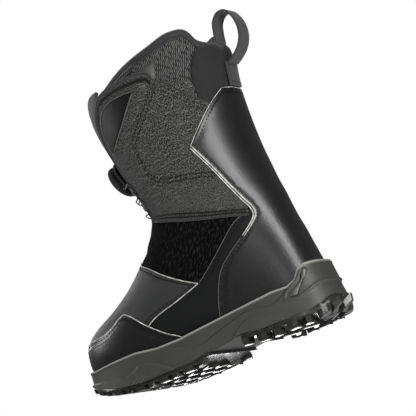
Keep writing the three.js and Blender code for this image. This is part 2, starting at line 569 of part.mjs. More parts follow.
// ---- lace guides and lace -----------------------------------------------------------------------------
// each guide: height above the surface kept by its own foot, a straight bore for the lace
const GUIDES = [['upper', -18.5, 201], ['middle', -10.5, 180]];
const guideSpots = {};
for (const [name, y, z] of GUIDES) {
  for (const side of [1, -1]) {
    const tag = side > 0 ? 'lateral' : 'medial';
    const [t, angle] = locate(y, z, side);
    const normal = skinNormal(t, angle);
    const along = offsetPoint(t + 0.1, angle, 0).sub(offsetPoint(t - 0.1, angle, 0));
    along.addScaledVector(normal, -along.dot(normal)).normalize();
    const across = new THREE.Vector3().crossVectors(along, normal).normalize();
    const frame = new THREE.Matrix4().makeBasis(across, along, normal).setPosition(skin(t, angle));
    guideSpots[`${name}${side}`] = frame;
    const profile = new THREE.Shape([[-4.5, -4], [4.5, -4], [4.5, 1], [3, 3.5], [-3, 3.5], [-4.5, 1]]
      .map(([a, b]) => new THREE.Vector2(a, b)));
    profile.holes.push(new THREE.Path([[-1.4, 0.9], [-1.4, 2.9], [1.4, 2.9], [1.4, 0.9]]
      .map(([a, b]) => new THREE.Vector2(a, b))));
    const block = new THREE.ExtrudeGeometry(profile, { depth: 9, bevelEnabled: false });
    block.translate(0, 0, -4.5);
    block.rotateX(Math.PI / 2);
    block.applyMatrix4(frame);
    add(`lace_guide_${name}_${tag}`, toSolid(block).subtract(volume(GAP)), 0x1d1d1e, 0.5);
  }
}

function guidePoints(name, side, down) {
  const order = down ? [7, 3, -3, -7] : [-7, -3, 3, 7];
  return order.map((v) => new THREE.Vector3(0, v, 1.9).applyMatrix4(guideSpots[`${name}${side}`]));
}

function overSurface(from, to, lift) {
  // points between two places, lying on the front of the boot and lifted off it
  const [t0, a0] = locate(from.y, from.z, Math.sign(from.x));
  const [t1, a1] = locate(to.y, to.z, Math.sign(to.x));
  return [0.2, 0.35, 0.5, 0.65, 0.8].map((f) => {
    const rise = lift * Math.sin(Math.PI * f);
    return offsetPoint(t0 + (t1 - t0) * f, a0 + (a1 - a0) * f, 2.1 + rise);
  });
}

const route = [...laceIn(1).reverse(), ...guidePoints('upper', 1, true)];
function crossTo(points, lift) {
  route.push(...overSurface(route[route.length - 1], points[0], lift), ...points);
}
crossTo(guidePoints('middle', -1, true), 2.2);
crossTo(guidePoints('middle', 1, false), 0);
crossTo(guidePoints('upper', -1, false), 0);
route.push(...laceIn(-1));
addMesh('lace', toGeometry(toSolid(tube(route, LACE_R, 96, 5))), 0x3a3a3a, 0.6);

export default group;
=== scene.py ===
import math

import bpy
import numpy as np
from mathutils import Matrix, Vector
from mathutils.geometry import delaunay_2d_cdt


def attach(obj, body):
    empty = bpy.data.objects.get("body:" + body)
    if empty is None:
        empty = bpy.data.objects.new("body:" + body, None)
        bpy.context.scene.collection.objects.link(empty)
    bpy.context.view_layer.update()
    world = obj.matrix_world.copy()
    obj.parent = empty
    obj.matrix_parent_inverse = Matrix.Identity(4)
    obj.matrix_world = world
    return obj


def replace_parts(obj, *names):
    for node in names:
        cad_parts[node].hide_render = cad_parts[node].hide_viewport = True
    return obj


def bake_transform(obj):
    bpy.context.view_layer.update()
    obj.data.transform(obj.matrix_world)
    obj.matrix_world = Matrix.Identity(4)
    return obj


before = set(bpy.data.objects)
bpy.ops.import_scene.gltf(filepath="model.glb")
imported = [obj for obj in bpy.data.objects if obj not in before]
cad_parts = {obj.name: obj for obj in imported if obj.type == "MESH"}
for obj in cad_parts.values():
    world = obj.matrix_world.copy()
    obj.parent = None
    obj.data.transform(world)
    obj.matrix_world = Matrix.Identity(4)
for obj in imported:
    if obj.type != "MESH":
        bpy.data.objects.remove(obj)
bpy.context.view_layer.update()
bpy.ops.object.select_all(action="DESELECT")

# ---- Studio: camera, light and floor ---------------------------------------
# A long lens a little below the boot looks up at its outer side from behind, tipped so that
# the boot leans on its toe. Tall soft boxes stand behind and beside it, and small ones light
# the toe, the heel and the tread. Each has its aim from the boot, distance, size and watts.
look_at = Vector((0, 0.0402, 0.158))
azimuth, below, tip = map(math.radians, (28, 12, 19.5))
back = Vector((math.cos(below) * math.cos(azimuth), math.cos(below) * math.sin(azimuth),
               -math.sin(below)))
level = Vector((-math.sin(azimuth), math.cos(azimuth), 0))
rise = back.cross(level)
right = level * math.cos(tip) - rise * math.sin(tip)
up = level * math.sin(tip) + rise * math.cos(tip)
camera = bpy.data.objects.new("camera", bpy.data.cameras.new("camera"))
bpy.context.scene.collection.objects.link(camera)
camera.data.lens = 149.54
camera.matrix_world = Matrix((right, up, back)).transposed().to_4x4()
camera.location = look_at + 1.8 * back
bpy.context.scene.camera = camera

for name, aim, away, width, height, power in (
        ("rear_strip", (0.63, 0.75, 0.2), 1.5, 0.5, 1.1, 18),
        ("outer_strip", (0.97, 0.12, 0.2), 1.5, 0.16, 0.9, 2.2),
        ("toe_box", (0.22, -0.93, 0.33), 1.5, 0.35, 0.5, 5),
        ("heel_box", (0.5, 1.0, -0.5), 1.2, 0.4, 0.7, 11),
        ("tread_box", (0.2, -0.46, -0.85), 0.6, 0.25, 0.4, 0.6),
        ("low_box", (-0.86, -0.46, -0.2), 1.5, 0.35, 0.4, 3),
        ("inner_box", (-0.85, -0.45, 0.35), 1.5, 0.5, 1.0, 7),
        ("front_box", (-0.4, -0.85, 0.45), 1.5, 0.4, 0.8, 3),
        ("top_box", (0.1, -0.1, 1.0), 1.5, 1.2, 1.2, 5)):
    lamp = bpy.data.objects.new(name, bpy.data.lights.new(name, "AREA"))
    bpy.context.scene.collection.objects.link(lamp)
    lamp.data.shape = "RECTANGLE"
    lamp.data.size = width
    lamp.data.size_y = height
    lamp.data.energy = power
    direction = Vector(aim).normalized()
    lamp.location = look_at + away * direction
    lamp.rotation_euler = direction.to_track_quat("Z", "Y").to_euler()


def linear(code):
    """An sRGB hex colour as linear red, green, blue and alpha."""
    parts = [int(code[k:k + 2], 16) / 255 for k in (1, 3, 5)]
    return (*[c / 12.92 if c <= 0.04045 else ((c + 0.055) / 1.055) ** 2.4 for c in parts], 1.0)


def put(material, kind, inputs=None, **settings):
    """Adds one node to a material, with its settings, and its inputs as numbers or links."""
    made = material.node_tree.nodes.new("ShaderNode" + kind)
    for key, value in settings.items():
        setattr(made, key, value)
    for key, value in (inputs or {}).items():
        if isinstance(value, bpy.types.NodeSocket):
            material.node_tree.links.new(value, made.inputs[key])
        else:
            made.inputs[key].default_value = value
    return made


def finish(name, inputs):
    """A material with only its shader, set as given."""
    material = bpy.data.materials.new(name)
    material.use_nodes = True
    shader = material.node_tree.nodes["Principled BSDF"]
    for key, value in inputs.items():
        shader.inputs[key].default_value = value
    return material


def wire(material, **sockets):
    """Links node outputs to the shader's Base_Color, Roughness or Normal."""
    shader = material.node_tree.nodes["Principled BSDF"]
    for key, socket in sockets.items():
        material.node_tree.links.new(socket, shader.inputs[key.replace("_", " ")])


world = bpy.data.worlds.new("studio")
world.use_nodes = True
world.node_tree.nodes["Background"].inputs["Color"].default_value = (1, 1, 1, 1)
world.node_tree.nodes["Background"].inputs["Strength"].default_value = 1.0
dim = world.node_tree.nodes.new("ShaderNodeBackground")
dim.inputs["Color"].default_value = (1, 1, 1, 1)
dim.inputs["Strength"].default_value = 0.16
seen = world.node_tree.nodes.new("ShaderNodeLightPath")
blend = world.node_tree.nodes.new("ShaderNodeMixShader")
world.node_tree.links.new(seen.outputs["Is Camera Ray"], blend.inputs["Fac"])
world.node_tree.links.new(dim.outputs["Background"], blend.inputs[1])
world.node_tree.links.new(world.node_tree.nodes["Background"].outputs["Background"], blend.inputs[2])
world.node_tree.links.new(blend.outputs["Shader"],
                          world.node_tree.nodes["World Output"].inputs["Surface"])
bpy.context.scene.world = world
bpy.context.scene.view_settings.view_transform = "Standard"
bpy.ops.mesh.primitive_plane_add(size=12, location=(0, 0, -0.45))
floor = bpy.context.active_object
floor.name = "floor"
floor.data.materials.append(finish("white_paper", {"Base Color": linear("#f4f4f4"), "Roughness": 0.9}))
floor.select_set(False)

# ---- The last, and the flat patterns cut from it --------------------------------
# A boot is lasted: flat panels are pulled over a foot form and take its shape. LAST holds
# that form in mm, sole to collar, as tilted slices: front y z, back y z, four half widths
# toe to heel on the outer side, the same on the inner, and how blunt the two ends are.
LAST = np.array([
    [-144, 26, 134, 26, 45, 68, 22, 50, 52, 56, 22, 48, .62, .62],
    [-150, 42, 138, 43, 48, 72, 26, 54, 56, 60, 26, 52, .62, .62],
    [-151, 57, 137, 58, 50, 72, 28, 54, 57, 60, 28, 52, .63, .64],
    [-147, 72, 135, 72, 50, 70, 32, 53, 56, 60, 32, 51, .66, .66],
    [-134, 83, 133, 85, 48, 66, 36, 52, 52, 60, 36, 50, .70, .68],
    [-111, 93, 131, 99, 46, 62, 40, 51, 48, 58, 40, 49, .75, .72],
    [-84, 107, 128, 114, 46, 56, 44, 50, 48, 54, 44, 48, .80, .76],
    [-62, 123, 126, 128, 46, 54, 48, 50, 46, 52, 48, 48, .83, .80],
    [-47, 138, 124, 142, 46, 54, 52, 50, 46, 52, 52, 50, .86, .84],
    [-32, 156, 121, 157, 48, 55, 56, 52, 48, 55, 56, 52, .88, .88],
    [-26, 171, 119, 172, 50, 58, 58, 54, 50, 58, 58, 54, .90, .90],
    [-32, 200, 116, 200, 54, 62, 62, 56, 54, 62, 62, 56, .92, .92],
    [-44, 238, 115, 234, 56, 66, 66, 58, 56, 66, 66, 58, .94, .94],
    [-53, 274, 116, 268, 58, 68, 68, 60, 58, 68, 68, 60, .95, .95],
    [-55, 304, 121, 300, 58, 68, 70, 62, 58, 68, 70, 62, .95, .95],
    [-47, 344, 124, 340, 56, 66, 68, 60, 56, 66, 68, 60, .95, .95]])
TOP = len(LAST) - 1
FORWARD = 2.2              # the last's own middle lies this far ahead of the boot's
AROUND, STEP = 225.0, 16.0  # pattern mm from front seam line to back, and from slice to slice
COLUMNS = 721
BASE_HEIGHT = 3.0          # pattern mm above the lowest slice where panels are turned under
APART = 0.7                # mm that the points of an outline are kept apart
GROOVE = 0.6               # mm that a sewn line is drawn down
STITCH_PITCH = 3.4         # mm from stitch to stitch


def last_slice(t):
    """The rows of LAST, smoothly in between them."""
    t = np.clip(t, 0, TOP)
    i = np.minimum(t.astype(int), TOP - 1)
    f = (t - i)[:, None]
    b, c = LAST[i], LAST[i + 1]
    p = np.where(i[:, None] > 0, LAST[np.maximum(i - 1, 0)], 2 * b - c)
    q = np.where(i[:, None] < TOP - 1, LAST[np.minimum(i + 2, TOP)], 2 * c - b)
    return 0.5 * (2 * b + (c - p) * f + (2 * p - 5 * b + 4 * c - q) * f ** 2
                  + (3 * b - p - 3 * c + q) * f ** 3)


def last_point(t, angle):
    """Points of the last, in mm: slice t, at an angle from the front round either side."""
    v = last_slice(t)
    s = (1 - np.cos(angle)) / 2
    r = 1 - s
    first, rows = np.where(angle >= 0, 4, 8), np.arange(len(t))
    half = sum(w * v[rows, first + k] for k,
               w in enumerate((r ** 3, 3 * s * r * r, 3 * s * s * r, s ** 3)))
    x = np.sign(angle) * half * np.abs(np.sin(angle)) ** (v[:, 12] * r + v[:, 13] * s)
    return np.stack([x, v[:, 0] + (v[:, 2] - v[:, 0]) * s, v[:, 1] + (v[:, 3] - v[:, 1]) * s], 1)


turn = (1 - np.cos(np.linspace(0, np.pi, COLUMNS))) / 2 * np.pi
share = np.linspace(0, 1, COLUMNS)
ANGLES = {1: [], -1: []}
for side in (1, -1):
    for t in np.linspace(0, TOP, TOP * 10 + 1):
        p = last_point(np.full(COLUMNS, t), side * turn)
        run = np.concatenate([[0], np.cumsum(np.linalg.norm(np.diff(p, axis=0), axis=1))])
        ANGLES[side].append(np.interp(share, run / run[-1], turn))
    ANGLES[side] = np.array(ANGLES[side])


def on_last(flat, out=0.0):
    """Points of a flat pattern, in mm, laid on the last and lifted out mm from it, as metres
    in the boot's frame."""
    flat = np.asarray(flat, float)

    def at(du, dt):
        t = np.clip(flat[:, 1] / STEP + dt, 0, TOP)
        u = (flat[:, 0] / AROUND + du + 1) % 2 - 1
        angle = np.empty(len(u))
        for side in (1, -1):
            m = (u >= 0) if side > 0 else (u < 0)
            a, b = np.abs(u[m]) * (COLUMNS - 1), t[m] * 10
            i, j = np.minimum(a.astype(int), COLUMNS - 2), np.minimum(b.astype(int), TOP * 10 - 1)
            f, g, table = a - i, b - j, ANGLES[side]
            angle[m] = side * ((table[j, i] * (1 - f) + table[j, i + 1] * f) * (1 - g)
                               + (table[j + 1, i] * (1 - f) + table[j + 1, i + 1] * f) * g)
        return last_point(t, angle)

    normal = np.cross(at(0.008, 0) - at(-0.008, 0), at(0, 0.06) - at(0, -0.06))
    normal /= np.linalg.norm(normal, axis=1)[:, None]
    p = at(0, 0) + normal * np.broadcast_to(out, len(flat))[:, None]
    p[:, 1] += FORWARD
    return p / 1000


def spline(points, step=2.0):
    """A smooth line through the points, stepped every step mm."""
    p = np.array(points, float)
    d = np.linalg.norm(np.diff(p, axis=0), axis=1)
    slope = np.diff(p, axis=0) / d[:, None]
    m = np.empty_like(p)
    m[0], m[-1] = slope[0], slope[-1]
    m[1:-1] = (slope[:-1] * d[1:, None] + slope[1:] * d[:-1, None]) / (d[:-1] + d[1:])[:, None]
    out = []
    for k in range(len(d)):
        f = (np.arange(max(1, round(d[k] / step))) / max(1, round(d[k] / step)))[:, None]
        out.append((2 * f ** 3 - 3 * f ** 2 + 1) * p[k] + (f ** 3 - 2 * f ** 2 + f) * d[k] * m[k]
                   + (3 * f ** 2 - 2 * f ** 3) * p[k + 1] + (f ** 3 - f ** 2) * d[k] * m[k + 1])
    return np.concatenate([*out, p[-1:]])


def pattern(points, side=1, sharp=False):
    """A seam line, given as y z seen from the side, as a line on the flat pattern. What lies
    past the front or the back of the last is cut off at the middle line there."""
    yz = np.array(points, float) if sharp else spline(points)
    y, z = yz.T
    lo, hi = np.zeros(len(y)), np.full(len(y), float(TOP))
    for _ in range(40):
        t = (lo + hi) / 2
        v = last_slice(t)
        below_point = (z - v[:, 1]) * (v[:, 2] - v[:, 0]) - (y - v[:, 0]) * (v[:, 3] - v[:, 1]) > 0
        lo, hi = np.where(below_point, t, lo), np.where(below_point, hi, t)
    v = last_slice(lo)
    dy, dz = v[:, 2] - v[:, 0], v[:, 3] - v[:, 1]
    s = ((y - v[:, 0]) * dy + (z - v[:, 1]) * dz) / (dy ** 2 + dz ** 2)
    angle = np.arccos(1 - 2 * np.clip(s, 0, 1))
    u = []
    for t, a in zip(lo, angle):
        j = min(int(t * 10), TOP * 10 - 1)
        g = t * 10 - j
        before, after = (np.interp(a, ANGLES[side][k], share) for k in (j, j + 1))
        u.append(before * (1 - g) + after * g)
    flat = np.stack([np.array(u) * AROUND * side, lo * STEP], 1)
    inside = (s > 0) & (s < 1)
    if sharp:
        return flat
    line = []
    for k in range(len(flat)):
        if k and inside[k] != inside[k - 1]:
            limit = 0.0 if min(s[k], s[k - 1]) <= 0 else 1.0
            f = (limit - s[k - 1]) / (s[k] - s[k - 1])
            line.append((limit * AROUND * side, (lo[k - 1] + (lo[k] - lo[k - 1]) * f) * STEP))
        if inside[k]:
            line.append(flat[k])
    return np.array(line)


def mirrored(line, about_back=False):
    """The same line on the other half of the boot, run the other way."""
    other = line[::-1].copy()
    other[:, 0] = (2 * AROUND if about_back else 0) - other[:, 0]
    return other


def joined(*lines):
    """One closed outline out of several lines, without points on top of each other."""
    p = np.concatenate(lines)
    keep = [0]
    for k in range(1, len(p)):
        if np.linalg.norm(p[k] - p[keep[-1]]) > APART:
            keep.append(k)
    if np.linalg.norm(p[keep[-1]] - p[0]) < APART:
        keep.pop()
    return p[keep]


def edge_distance(p, ring, closed=True):
    """How far each point is from a closed ring, or from an open line."""
    a = ring if closed else ring[:-1]
    ab = (np.roll(ring, -1, 0) if closed else ring[1:]) - a
    best = np.full(len(p), 1e9)
    for q, r in zip(a, ab):
        f = np.clip(((p - q) @ r) / max(r @ r, 1e-9), 0, 1)
        best = np.minimum(best, np.linalg.norm(p - q - f[:, None] * r, axis=1))
    return best


def inside_of(p, ring):
    """Which points lie in the ring."""
    hit = np.zeros(len(p), bool)
    for (x0, y0), (x1, y1) in zip(ring, np.roll(ring, -1, 0)):
        if y0 != y1:
            hit ^= ((p[:, 1] < y0) != (p[:, 1] < y1)) & (p[:,
                    0] < (x1 - x0) * (p[:, 1] - y0) / (y1 - y0) + x0)
    return hit


def new_piece(name, points, faces, material):
    """A smooth mesh in the scene, its points in metres."""
    mesh = bpy.data.meshes.new(name)
    mesh.from_pydata([tuple(p) for p in points], [], [tuple(f) for f in faces])
    mesh.polygons.foreach_set("use_smooth", [True] * len(mesh.polygons))
    piece = bpy.data.objects.new(name, mesh)
    bpy.context.scene.collection.objects.link(piece)
    mesh.materials.append(material)
    return piece


def apply(piece, kind, **settings):
    """Adds a modifier and applies it."""
    modifier = piece.modifiers.new(kind.lower(), kind)
    for key, value in settings.items():
        setattr(modifier, key, value)
    bpy.context.view_layer.objects.active = piece
    bpy.ops.object.modifier_apply(modifier=modifier.name)


def cut_panel(name, outline, lift, thick, material, roll=0.6, pad=0.0, soft=9.0, pitch=3.2, swell=None,
              sewn=()):
    """A panel cut to an outline on the flat pattern, pulled over the last, lift mm off it, with
    its edge rolled in. pad is how far stuffing swells it, and each sewn line is drawn down into a
    groove. The flat place of each point is its UV, in metres, and seam is 1 in a groove."""
    ring = outline
    area = np.sum(ring[:, 0] * np.roll(ring[:, 1], -1) - np.roll(ring[:, 0], -1) * ring[:, 1])
    if area < 0:
        ring = ring[::-1]
    tangent = np.roll(ring, -1, 0) - np.roll(ring, 1, 0)
    tangent /= np.maximum(np.linalg.norm(tangent, axis=1), 1e-9)[:, None]
    inward = np.stack([-tangent[:, 1], tangent[:, 0]], 1)
    rows = [ring]
    for d in (0.6, 1.4):
        row = ring + inward * d
        rows.append(row[(edge_distance(row, ring) > 0.93 * d) & inside_of(row, ring)])
    lo, hi = ring.min(0), ring.max(0)
    grid = np.array([(x + (k % 2) * pitch / 2, y) for k,
                     y in enumerate(np.arange(lo[1], hi[1], pitch * 0.87))
                     for x in np.arange(lo[0], hi[0], pitch)])
    grid = grid[inside_of(grid, ring)]
    grid = grid[edge_distance(grid, ring) > 1.4 + pitch * 0.5]
    for line in sewn:
        near = np.concatenate([even(line, 1.3), *(even(beside(line, d), 1.3) for d in (-1.2, 1.2))])
        near = near[inside_of(near, ring)]
        rows.append(near[edge_distance(near, ring) > 1.7])
        grid = grid[edge_distance(grid, line, False) > 2.2]
    rows.append(grid)
    points = np.concatenate(rows)
    done = delaunay_2d_cdt([Vector(p) for p in points], [], [list(range(len(ring)))], 1, 1e-5)
    flat = np.array([tuple(p) for p in done[0]])
    d = edge_distance(flat, ring)
    out = lift - roll * (1 - np.minimum(d / 1.6, 1)) ** 2 + pad * (1 - np.exp(-(d / soft) ** 2))
    if swell:
        out = out + swell(flat)
    seam = np.zeros(len(flat))
    for line in sewn:
        seam = np.maximum(seam, np.exp(-(edge_distance(flat, line, False) / 0.9) ** 2))
    out = out - GROOVE * seam
    piece = new_piece(name, on_last(flat, out), done[2], material)
    a, b, c = (flat[list(done[2][0])][k] for k in range(3))
    if (b[0] - a[0]) * (c[1] - a[1]) - (b[1] - a[1]) * (c[0] - a[0]) < 0:
        piece.data.flip_normals()
    corner = np.empty(len(piece.data.loops), int)
    piece.data.loops.foreach_get("vertex_index", corner)
    piece.data.uv_layers.new(name="flat").data.foreach_set("uv", (flat[corner] / 1000).ravel())
    piece.data.attributes.new("seam", "FLOAT", "POINT").data.foreach_set("value",
            seam.astype(np.float32))
    apply(piece, "SOLIDIFY", thickness=thick / 1000, offset=-1.0)
    return piece


# The stitch is one bead of thread, pulled long; each row of stitches is copies of it.
bpy.ops.mesh.primitive_uv_sphere_add(segments=6, ring_count=4, radius=1)
bead = bpy.context.active_object
bead_points = np.array([v.co for v in bead.data.vertices])
bead_faces = [np.array(f.vertices) for f in bead.data.polygons]
bpy.data.objects.remove(bead)

thread = finish("bonded_nylon_thread", {"Base Color": linear("#050505"), "Roughness": 0.7,
                                        "Specular IOR Level": 0.25})
twist = put(thread, "TexWave", {"Scale": 900.0, "Vector": put(thread, "TexCoord").outputs["Object"]},
            bands_direction="DIAGONAL")
wire(thread, Normal=put(thread, "Bump", {"Strength": 0.3, "Distance": 0.0002,
                                         "Height": twist.outputs["Fac"]}).outputs["Normal"])


def even(line, pitch):
    """Points pitch mm apart along a line."""
    run = np.concatenate([[0], np.cumsum(np.linalg.norm(np.diff(line, axis=0), axis=1))])
    at = np.arange(pitch / 2, run[-1], pitch)
    return np.stack([np.interp(at, run, line[:, k]) for k in range(line.shape[1])], 1)


def beside(line, away):
    """The line moved away mm to its left."""
    tangent = np.gradient(line, axis=0)
    tangent /= np.maximum(np.linalg.norm(tangent, axis=1), 1e-9)[:, None]
    moved = line + away * np.stack([-tangent[:, 1], tangent[:, 0]], 1)
    return moved[edge_distance(moved, line, False) > 0.93 * abs(away)] if away else moved


def sew(name, rows, length=2.5, width=1.4):
    """Rows of stitches: each row is a line on the pattern and its height above the last."""
    points, faces = [], []
    for line, lift in rows:
        spots = even(line, STITCH_PITCH)
        a, b = on_last(spots, lift), on_last(spots, lift + 1)
        along = np.gradient(a, axis=0)
        normal = b - a
        along -= normal * (np.sum(along * normal, 1) / np.sum(normal * normal, 1))[:, None]
        along /= np.linalg.norm(along, axis=1)[:, None]
        normal /= np.linalg.norm(normal, axis=1)[:, None]
        across = np.cross(normal, along)
        for p, x, y, z in zip(a, along, across, normal):
            start = len(points)
            local = bead_points * (length / 2000, width / 2000, 0.0003)
            points.extend(p + local[:, :1] * x + local[:, 1:2] * y + local[:, 2:] * z)
            faces.extend(f + start for f in bead_faces)
    return new_piece(name, points, faces, thread)


def pipe(name, lines, material, radius, squeeze=1.0, sides=8):
    """Round cords laid on the last: each is a line on the pattern and its height above the last."""
    points, faces = [], []
    for line, lift in lines:
        a, b = on_last(line, lift), on_last(line, lift + 1)
        along = np.gradient(a, axis=0)
        along /= np.linalg.norm(along, axis=1)[:, None]
        normal = b - a
        normal -= along * np.sum(along * normal, 1)[:, None]
        normal /= np.linalg.norm(normal, axis=1)[:, None]
        across = np.cross(normal, along)
        start, n = len(points), len(a)
        for k in range(n):
            end = 0.35 if k in (0, n - 1) else 1.0
            for j in range(sides):
                w = 2 * math.pi * j / sides
                points.append(a[k] + end * radius / 1000
                              * (math.cos(w) * across[k] + squeeze * math.sin(w) * normal[k]))
        faces.extend(tube_faces(n, sides, start))
    piece = new_piece(name, points, faces, material)
    outward(piece)
    return piece


def outward(piece):
    """Turns every face of a closed piece outwards."""
    bpy.ops.object.select_all(action="DESELECT")
    piece.select_set(True)
    bpy.context.view_layer.objects.active = piece
    bpy.ops.object.mode_set(mode="EDIT")
    bpy.ops.mesh.select_all(action="SELECT")
    bpy.ops.mesh.normals_make_consistent(inside=False)
    bpy.ops.object.mode_set(mode="OBJECT")
    piece.select_set(False)


def tube_faces(rings, sides, start=0):
    """The faces of a closed tube: rings of sides points each, one after another from start."""
    faces = [(start + k * sides + j, start + k * sides + (j + 1) % sides,
              start + (k + 1) * sides + (j + 1) % sides, start + (k + 1) * sides + j)
             for k in range(rings - 1) for j in range(sides)]
    first, last = range(start, start + sides), range(start + (rings - 1) * sides, start + rings * sides)
    return faces + [tuple(first)[::-1], tuple(last)]


def over_ankle(*pieces):
    """Fabric that reaches from the foot over the flex line of the cuff."""
    for piece in pieces:
        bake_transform(piece)


# Seam lines shared by the panels, y z in mm seen from the side.
TOE_SEAM = [(-175, 72), (-120, 72), (-102, 72), (-90, 75), (-77, 81), (-70, 82), (-65, 79), (-46, 61),
            (-28, 46), (-12, 35), (-4, 18)]
VAMP_TOP = [(-90, 172), (-52, 134), (-45, 127), (-29, 117), (-11, 103), (9, 89), (24, 80)]
QUARTER_SEAM = [(-47, 59), (-37, 64), (-5, 72), (17, 78), (24, 80)]
STRIP_FRONT = [(24, 80), (29, 83), (45, 94), (64, 109), (86, 124.5), (100.5, 129)]
STAY_UPPER = [(111, 261), (98, 244), (86, 228), (71, 209)]
STAY_LOWER = [(71, 209), (84, 179), (98, 141), (102.6, 130), (103.2, 126), (102, 121.5), (98, 117),
              (79, 103), (65, 94), (51, 82), (45, 72), (37, 53), (33, 38), (29, 18)]
STAY_TOP = [(111, 261), (175, 256)]
CUFF_LOW = [(-60, 182), (-25, 167), (-7, 160), (15, 152), (33, 145), (58, 137), (90, 127.5),
            (99, 124.5)]
WING_SEAM = [(60, 290), (39, 270), (19, 253), (10, 244), (9, 235), (10, 225), (11, 213), (14, 198),
             (22, 189), (35, 182), (57, 177), (88, 169)]
TONGUE_EDGE = [(-15, 304), (-23, 292), (-32, 279), (-33, 267), (-32, 243), (-27, 220), (-21, 200),
               (-16, 183), (-8, 160.5)]
LINER_EDGE = [(-34, 312), (-34, 292), (-35, 267), (-34, 243), (-29, 220), (-23, 200), (-18, 183),
              (-10, 162)]
LINER_TOP = [(-36, 297), (-10, 303), (27, 313), (66, 321), (92, 327), (101, 326), (109, 312),
             (175, 304)]
CUFF_TOP = [(-15, 301), (-2, 303), (29, 302), (48, 299), (55, 296), (60, 290), (74, 278), (81, 268),
            (90, 257), (101, 247.5)]
FILM_CORNER = [(37, 287), (30, 288), (-6, 288), (-12, 286), (-20, 278), (-24, 266), (-24, 250),
               (-22, 244), (-16, 246), (2, 256), (37, 287)]
SIDES = ((1, "lateral"), (-1, "medial"))


def moved(line, dy, dz):
    """A seam line moved in the side view, in mm."""
    return [(y + dy, z + dz) for y, z in line]


def along_base(u0, u1):
    """Along the foot of the last, where the panels are turned under it."""
    count = max(3, int(abs(u1 - u0) / 4))
    return np.stack([np.linspace(u0, u1, count), np.full(count, BASE_HEIGHT)], 1)


# ---- Lasting board, shank, toe puff and heel counter -------------------------------
# The stiff inside of the foot: a fibre board that the uppers are lasted to, a glass-filled
# nylon shank under it, and two thermoplastic cups cemented between lining and upper.
def speckled(name, code, light, scale, rough, **more):
    """Moulded or pressed stuff with a fine speckle; scale is specks in a metre."""
    material = finish(name, {"Roughness": rough, **{k.replace("_", " "): v for k, v in more.items()}})
    place = put(material, "TexCoord").outputs["Object"]
    speck = put(material, "TexNoise", {"Vector": place, "Scale": scale, "Detail": 4.0})
    spread = put(material, "MapRange", {"Value": speck.outputs["Fac"], "From Min": 0.35,
                                        "From Max": 0.65})
    mix = put(material, "Mix", {"Factor": spread.outputs["Result"], "A": linear(code),
                                "B": linear(light)}, data_type="RGBA")
    bump = put(material, "Bump", {"Strength": 0.25, "Distance": 0.0002, "Height": speck.outputs["Fac"]})
    wire(material, Base_Color=mix.outputs[2], Normal=bump.outputs["Normal"])
    return material


def repaint(material, *names):
    """Gives CAD nodes, which are kept as they are, another material."""
    for name in names:
        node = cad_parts[name]
        node.data.materials.clear()
        node.data.materials.append(material)


repaint(speckled("pressed_fibre_board", "#6b5f4d", "#857762", 500, 0.9), "lasting_board")
repaint(speckled("glass_filled_nylon", "#252527", "#333335", 1200, 0.5), "shank_plate")
repaint(speckled("stiffener_thermoplastic", "#82827d", "#96968f", 900, 0.6), "toe_puff", "heel_counter")
repaint(speckled("eva_footbed", "#3d4750", "#4f5a64", 700, 0.85), "footbed")

# ---- Linings ---------------------------------------------------------------------
# Foam-backed tricot, stitched in behind the lower boot's panels and behind the cuff's.
tricot = finish("tricot_lining", {"Base Color": linear("#1b1b1d"), "Roughness": 0.95,
                                  "Sheen Weight": 0.2})
ribs = put(tricot, "TexWave", {"Vector": put(tricot, "UVMap", uv_map="flat").outputs["UV"],
                               "Scale": 300.0, "Distortion": 1.0})
wire(tricot, Normal=put(tricot, "Bump", {"Strength": 0.4, "Distance": 0.0003,
                                         "Height": ribs.outputs["Fac"]}).outputs["Normal"])


def front_tuck(flat):
    """The front seam of an inner layer is drawn in, so that it lies clear of the vamp."""
    off_seam = np.minimum(flat[:, 0], 2 * AROUND - flat[:, 0])
    return -3.0 * np.exp(-(off_seam / 8) ** 2) / (1 + np.exp((flat[:, 1] - 140) / 4))


low = pattern([(-80, 158), (-52, 131), (-45, 124), (-29, 114), (-11, 100), (10, 90), (40, 93),
               (66, 107), (90, 113), (175, 108)])
lower_lining = cut_panel("lower_boot_lining",
                         joined(low, mirrored(low, True), along_base(2 * AROUND - 0.5, 0.5)), -3.3,
                         2.2, tricot, pitch=5, swell=front_tuck)
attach(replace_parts(lower_lining, "lower_lining"), "lower_boot")
front_edge = pattern(moved(TONGUE_EDGE[1:], 1, 0))
foot_edge = pattern([(-9, 162), (15, 153), (33, 146), (58, 138), (90, 128.5), (112, 126), (175, 120)])
rim = pattern([(-16, 297), (-2, 299), (29, 299), (48, 298), (57, 290), (73, 277), (88, 258), (93, 266),
               (101, 292), (108, 303), (175, 305)])
half = joined(rim[::-1], front_edge, foot_edge)
cuff_lining = cut_panel("cuff_inner_lining", joined(half, mirrored(half, True)), -3.3, 2.2, tricot,
                        pitch=5)
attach(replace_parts(cuff_lining, "cuff_lining"), "cuff")

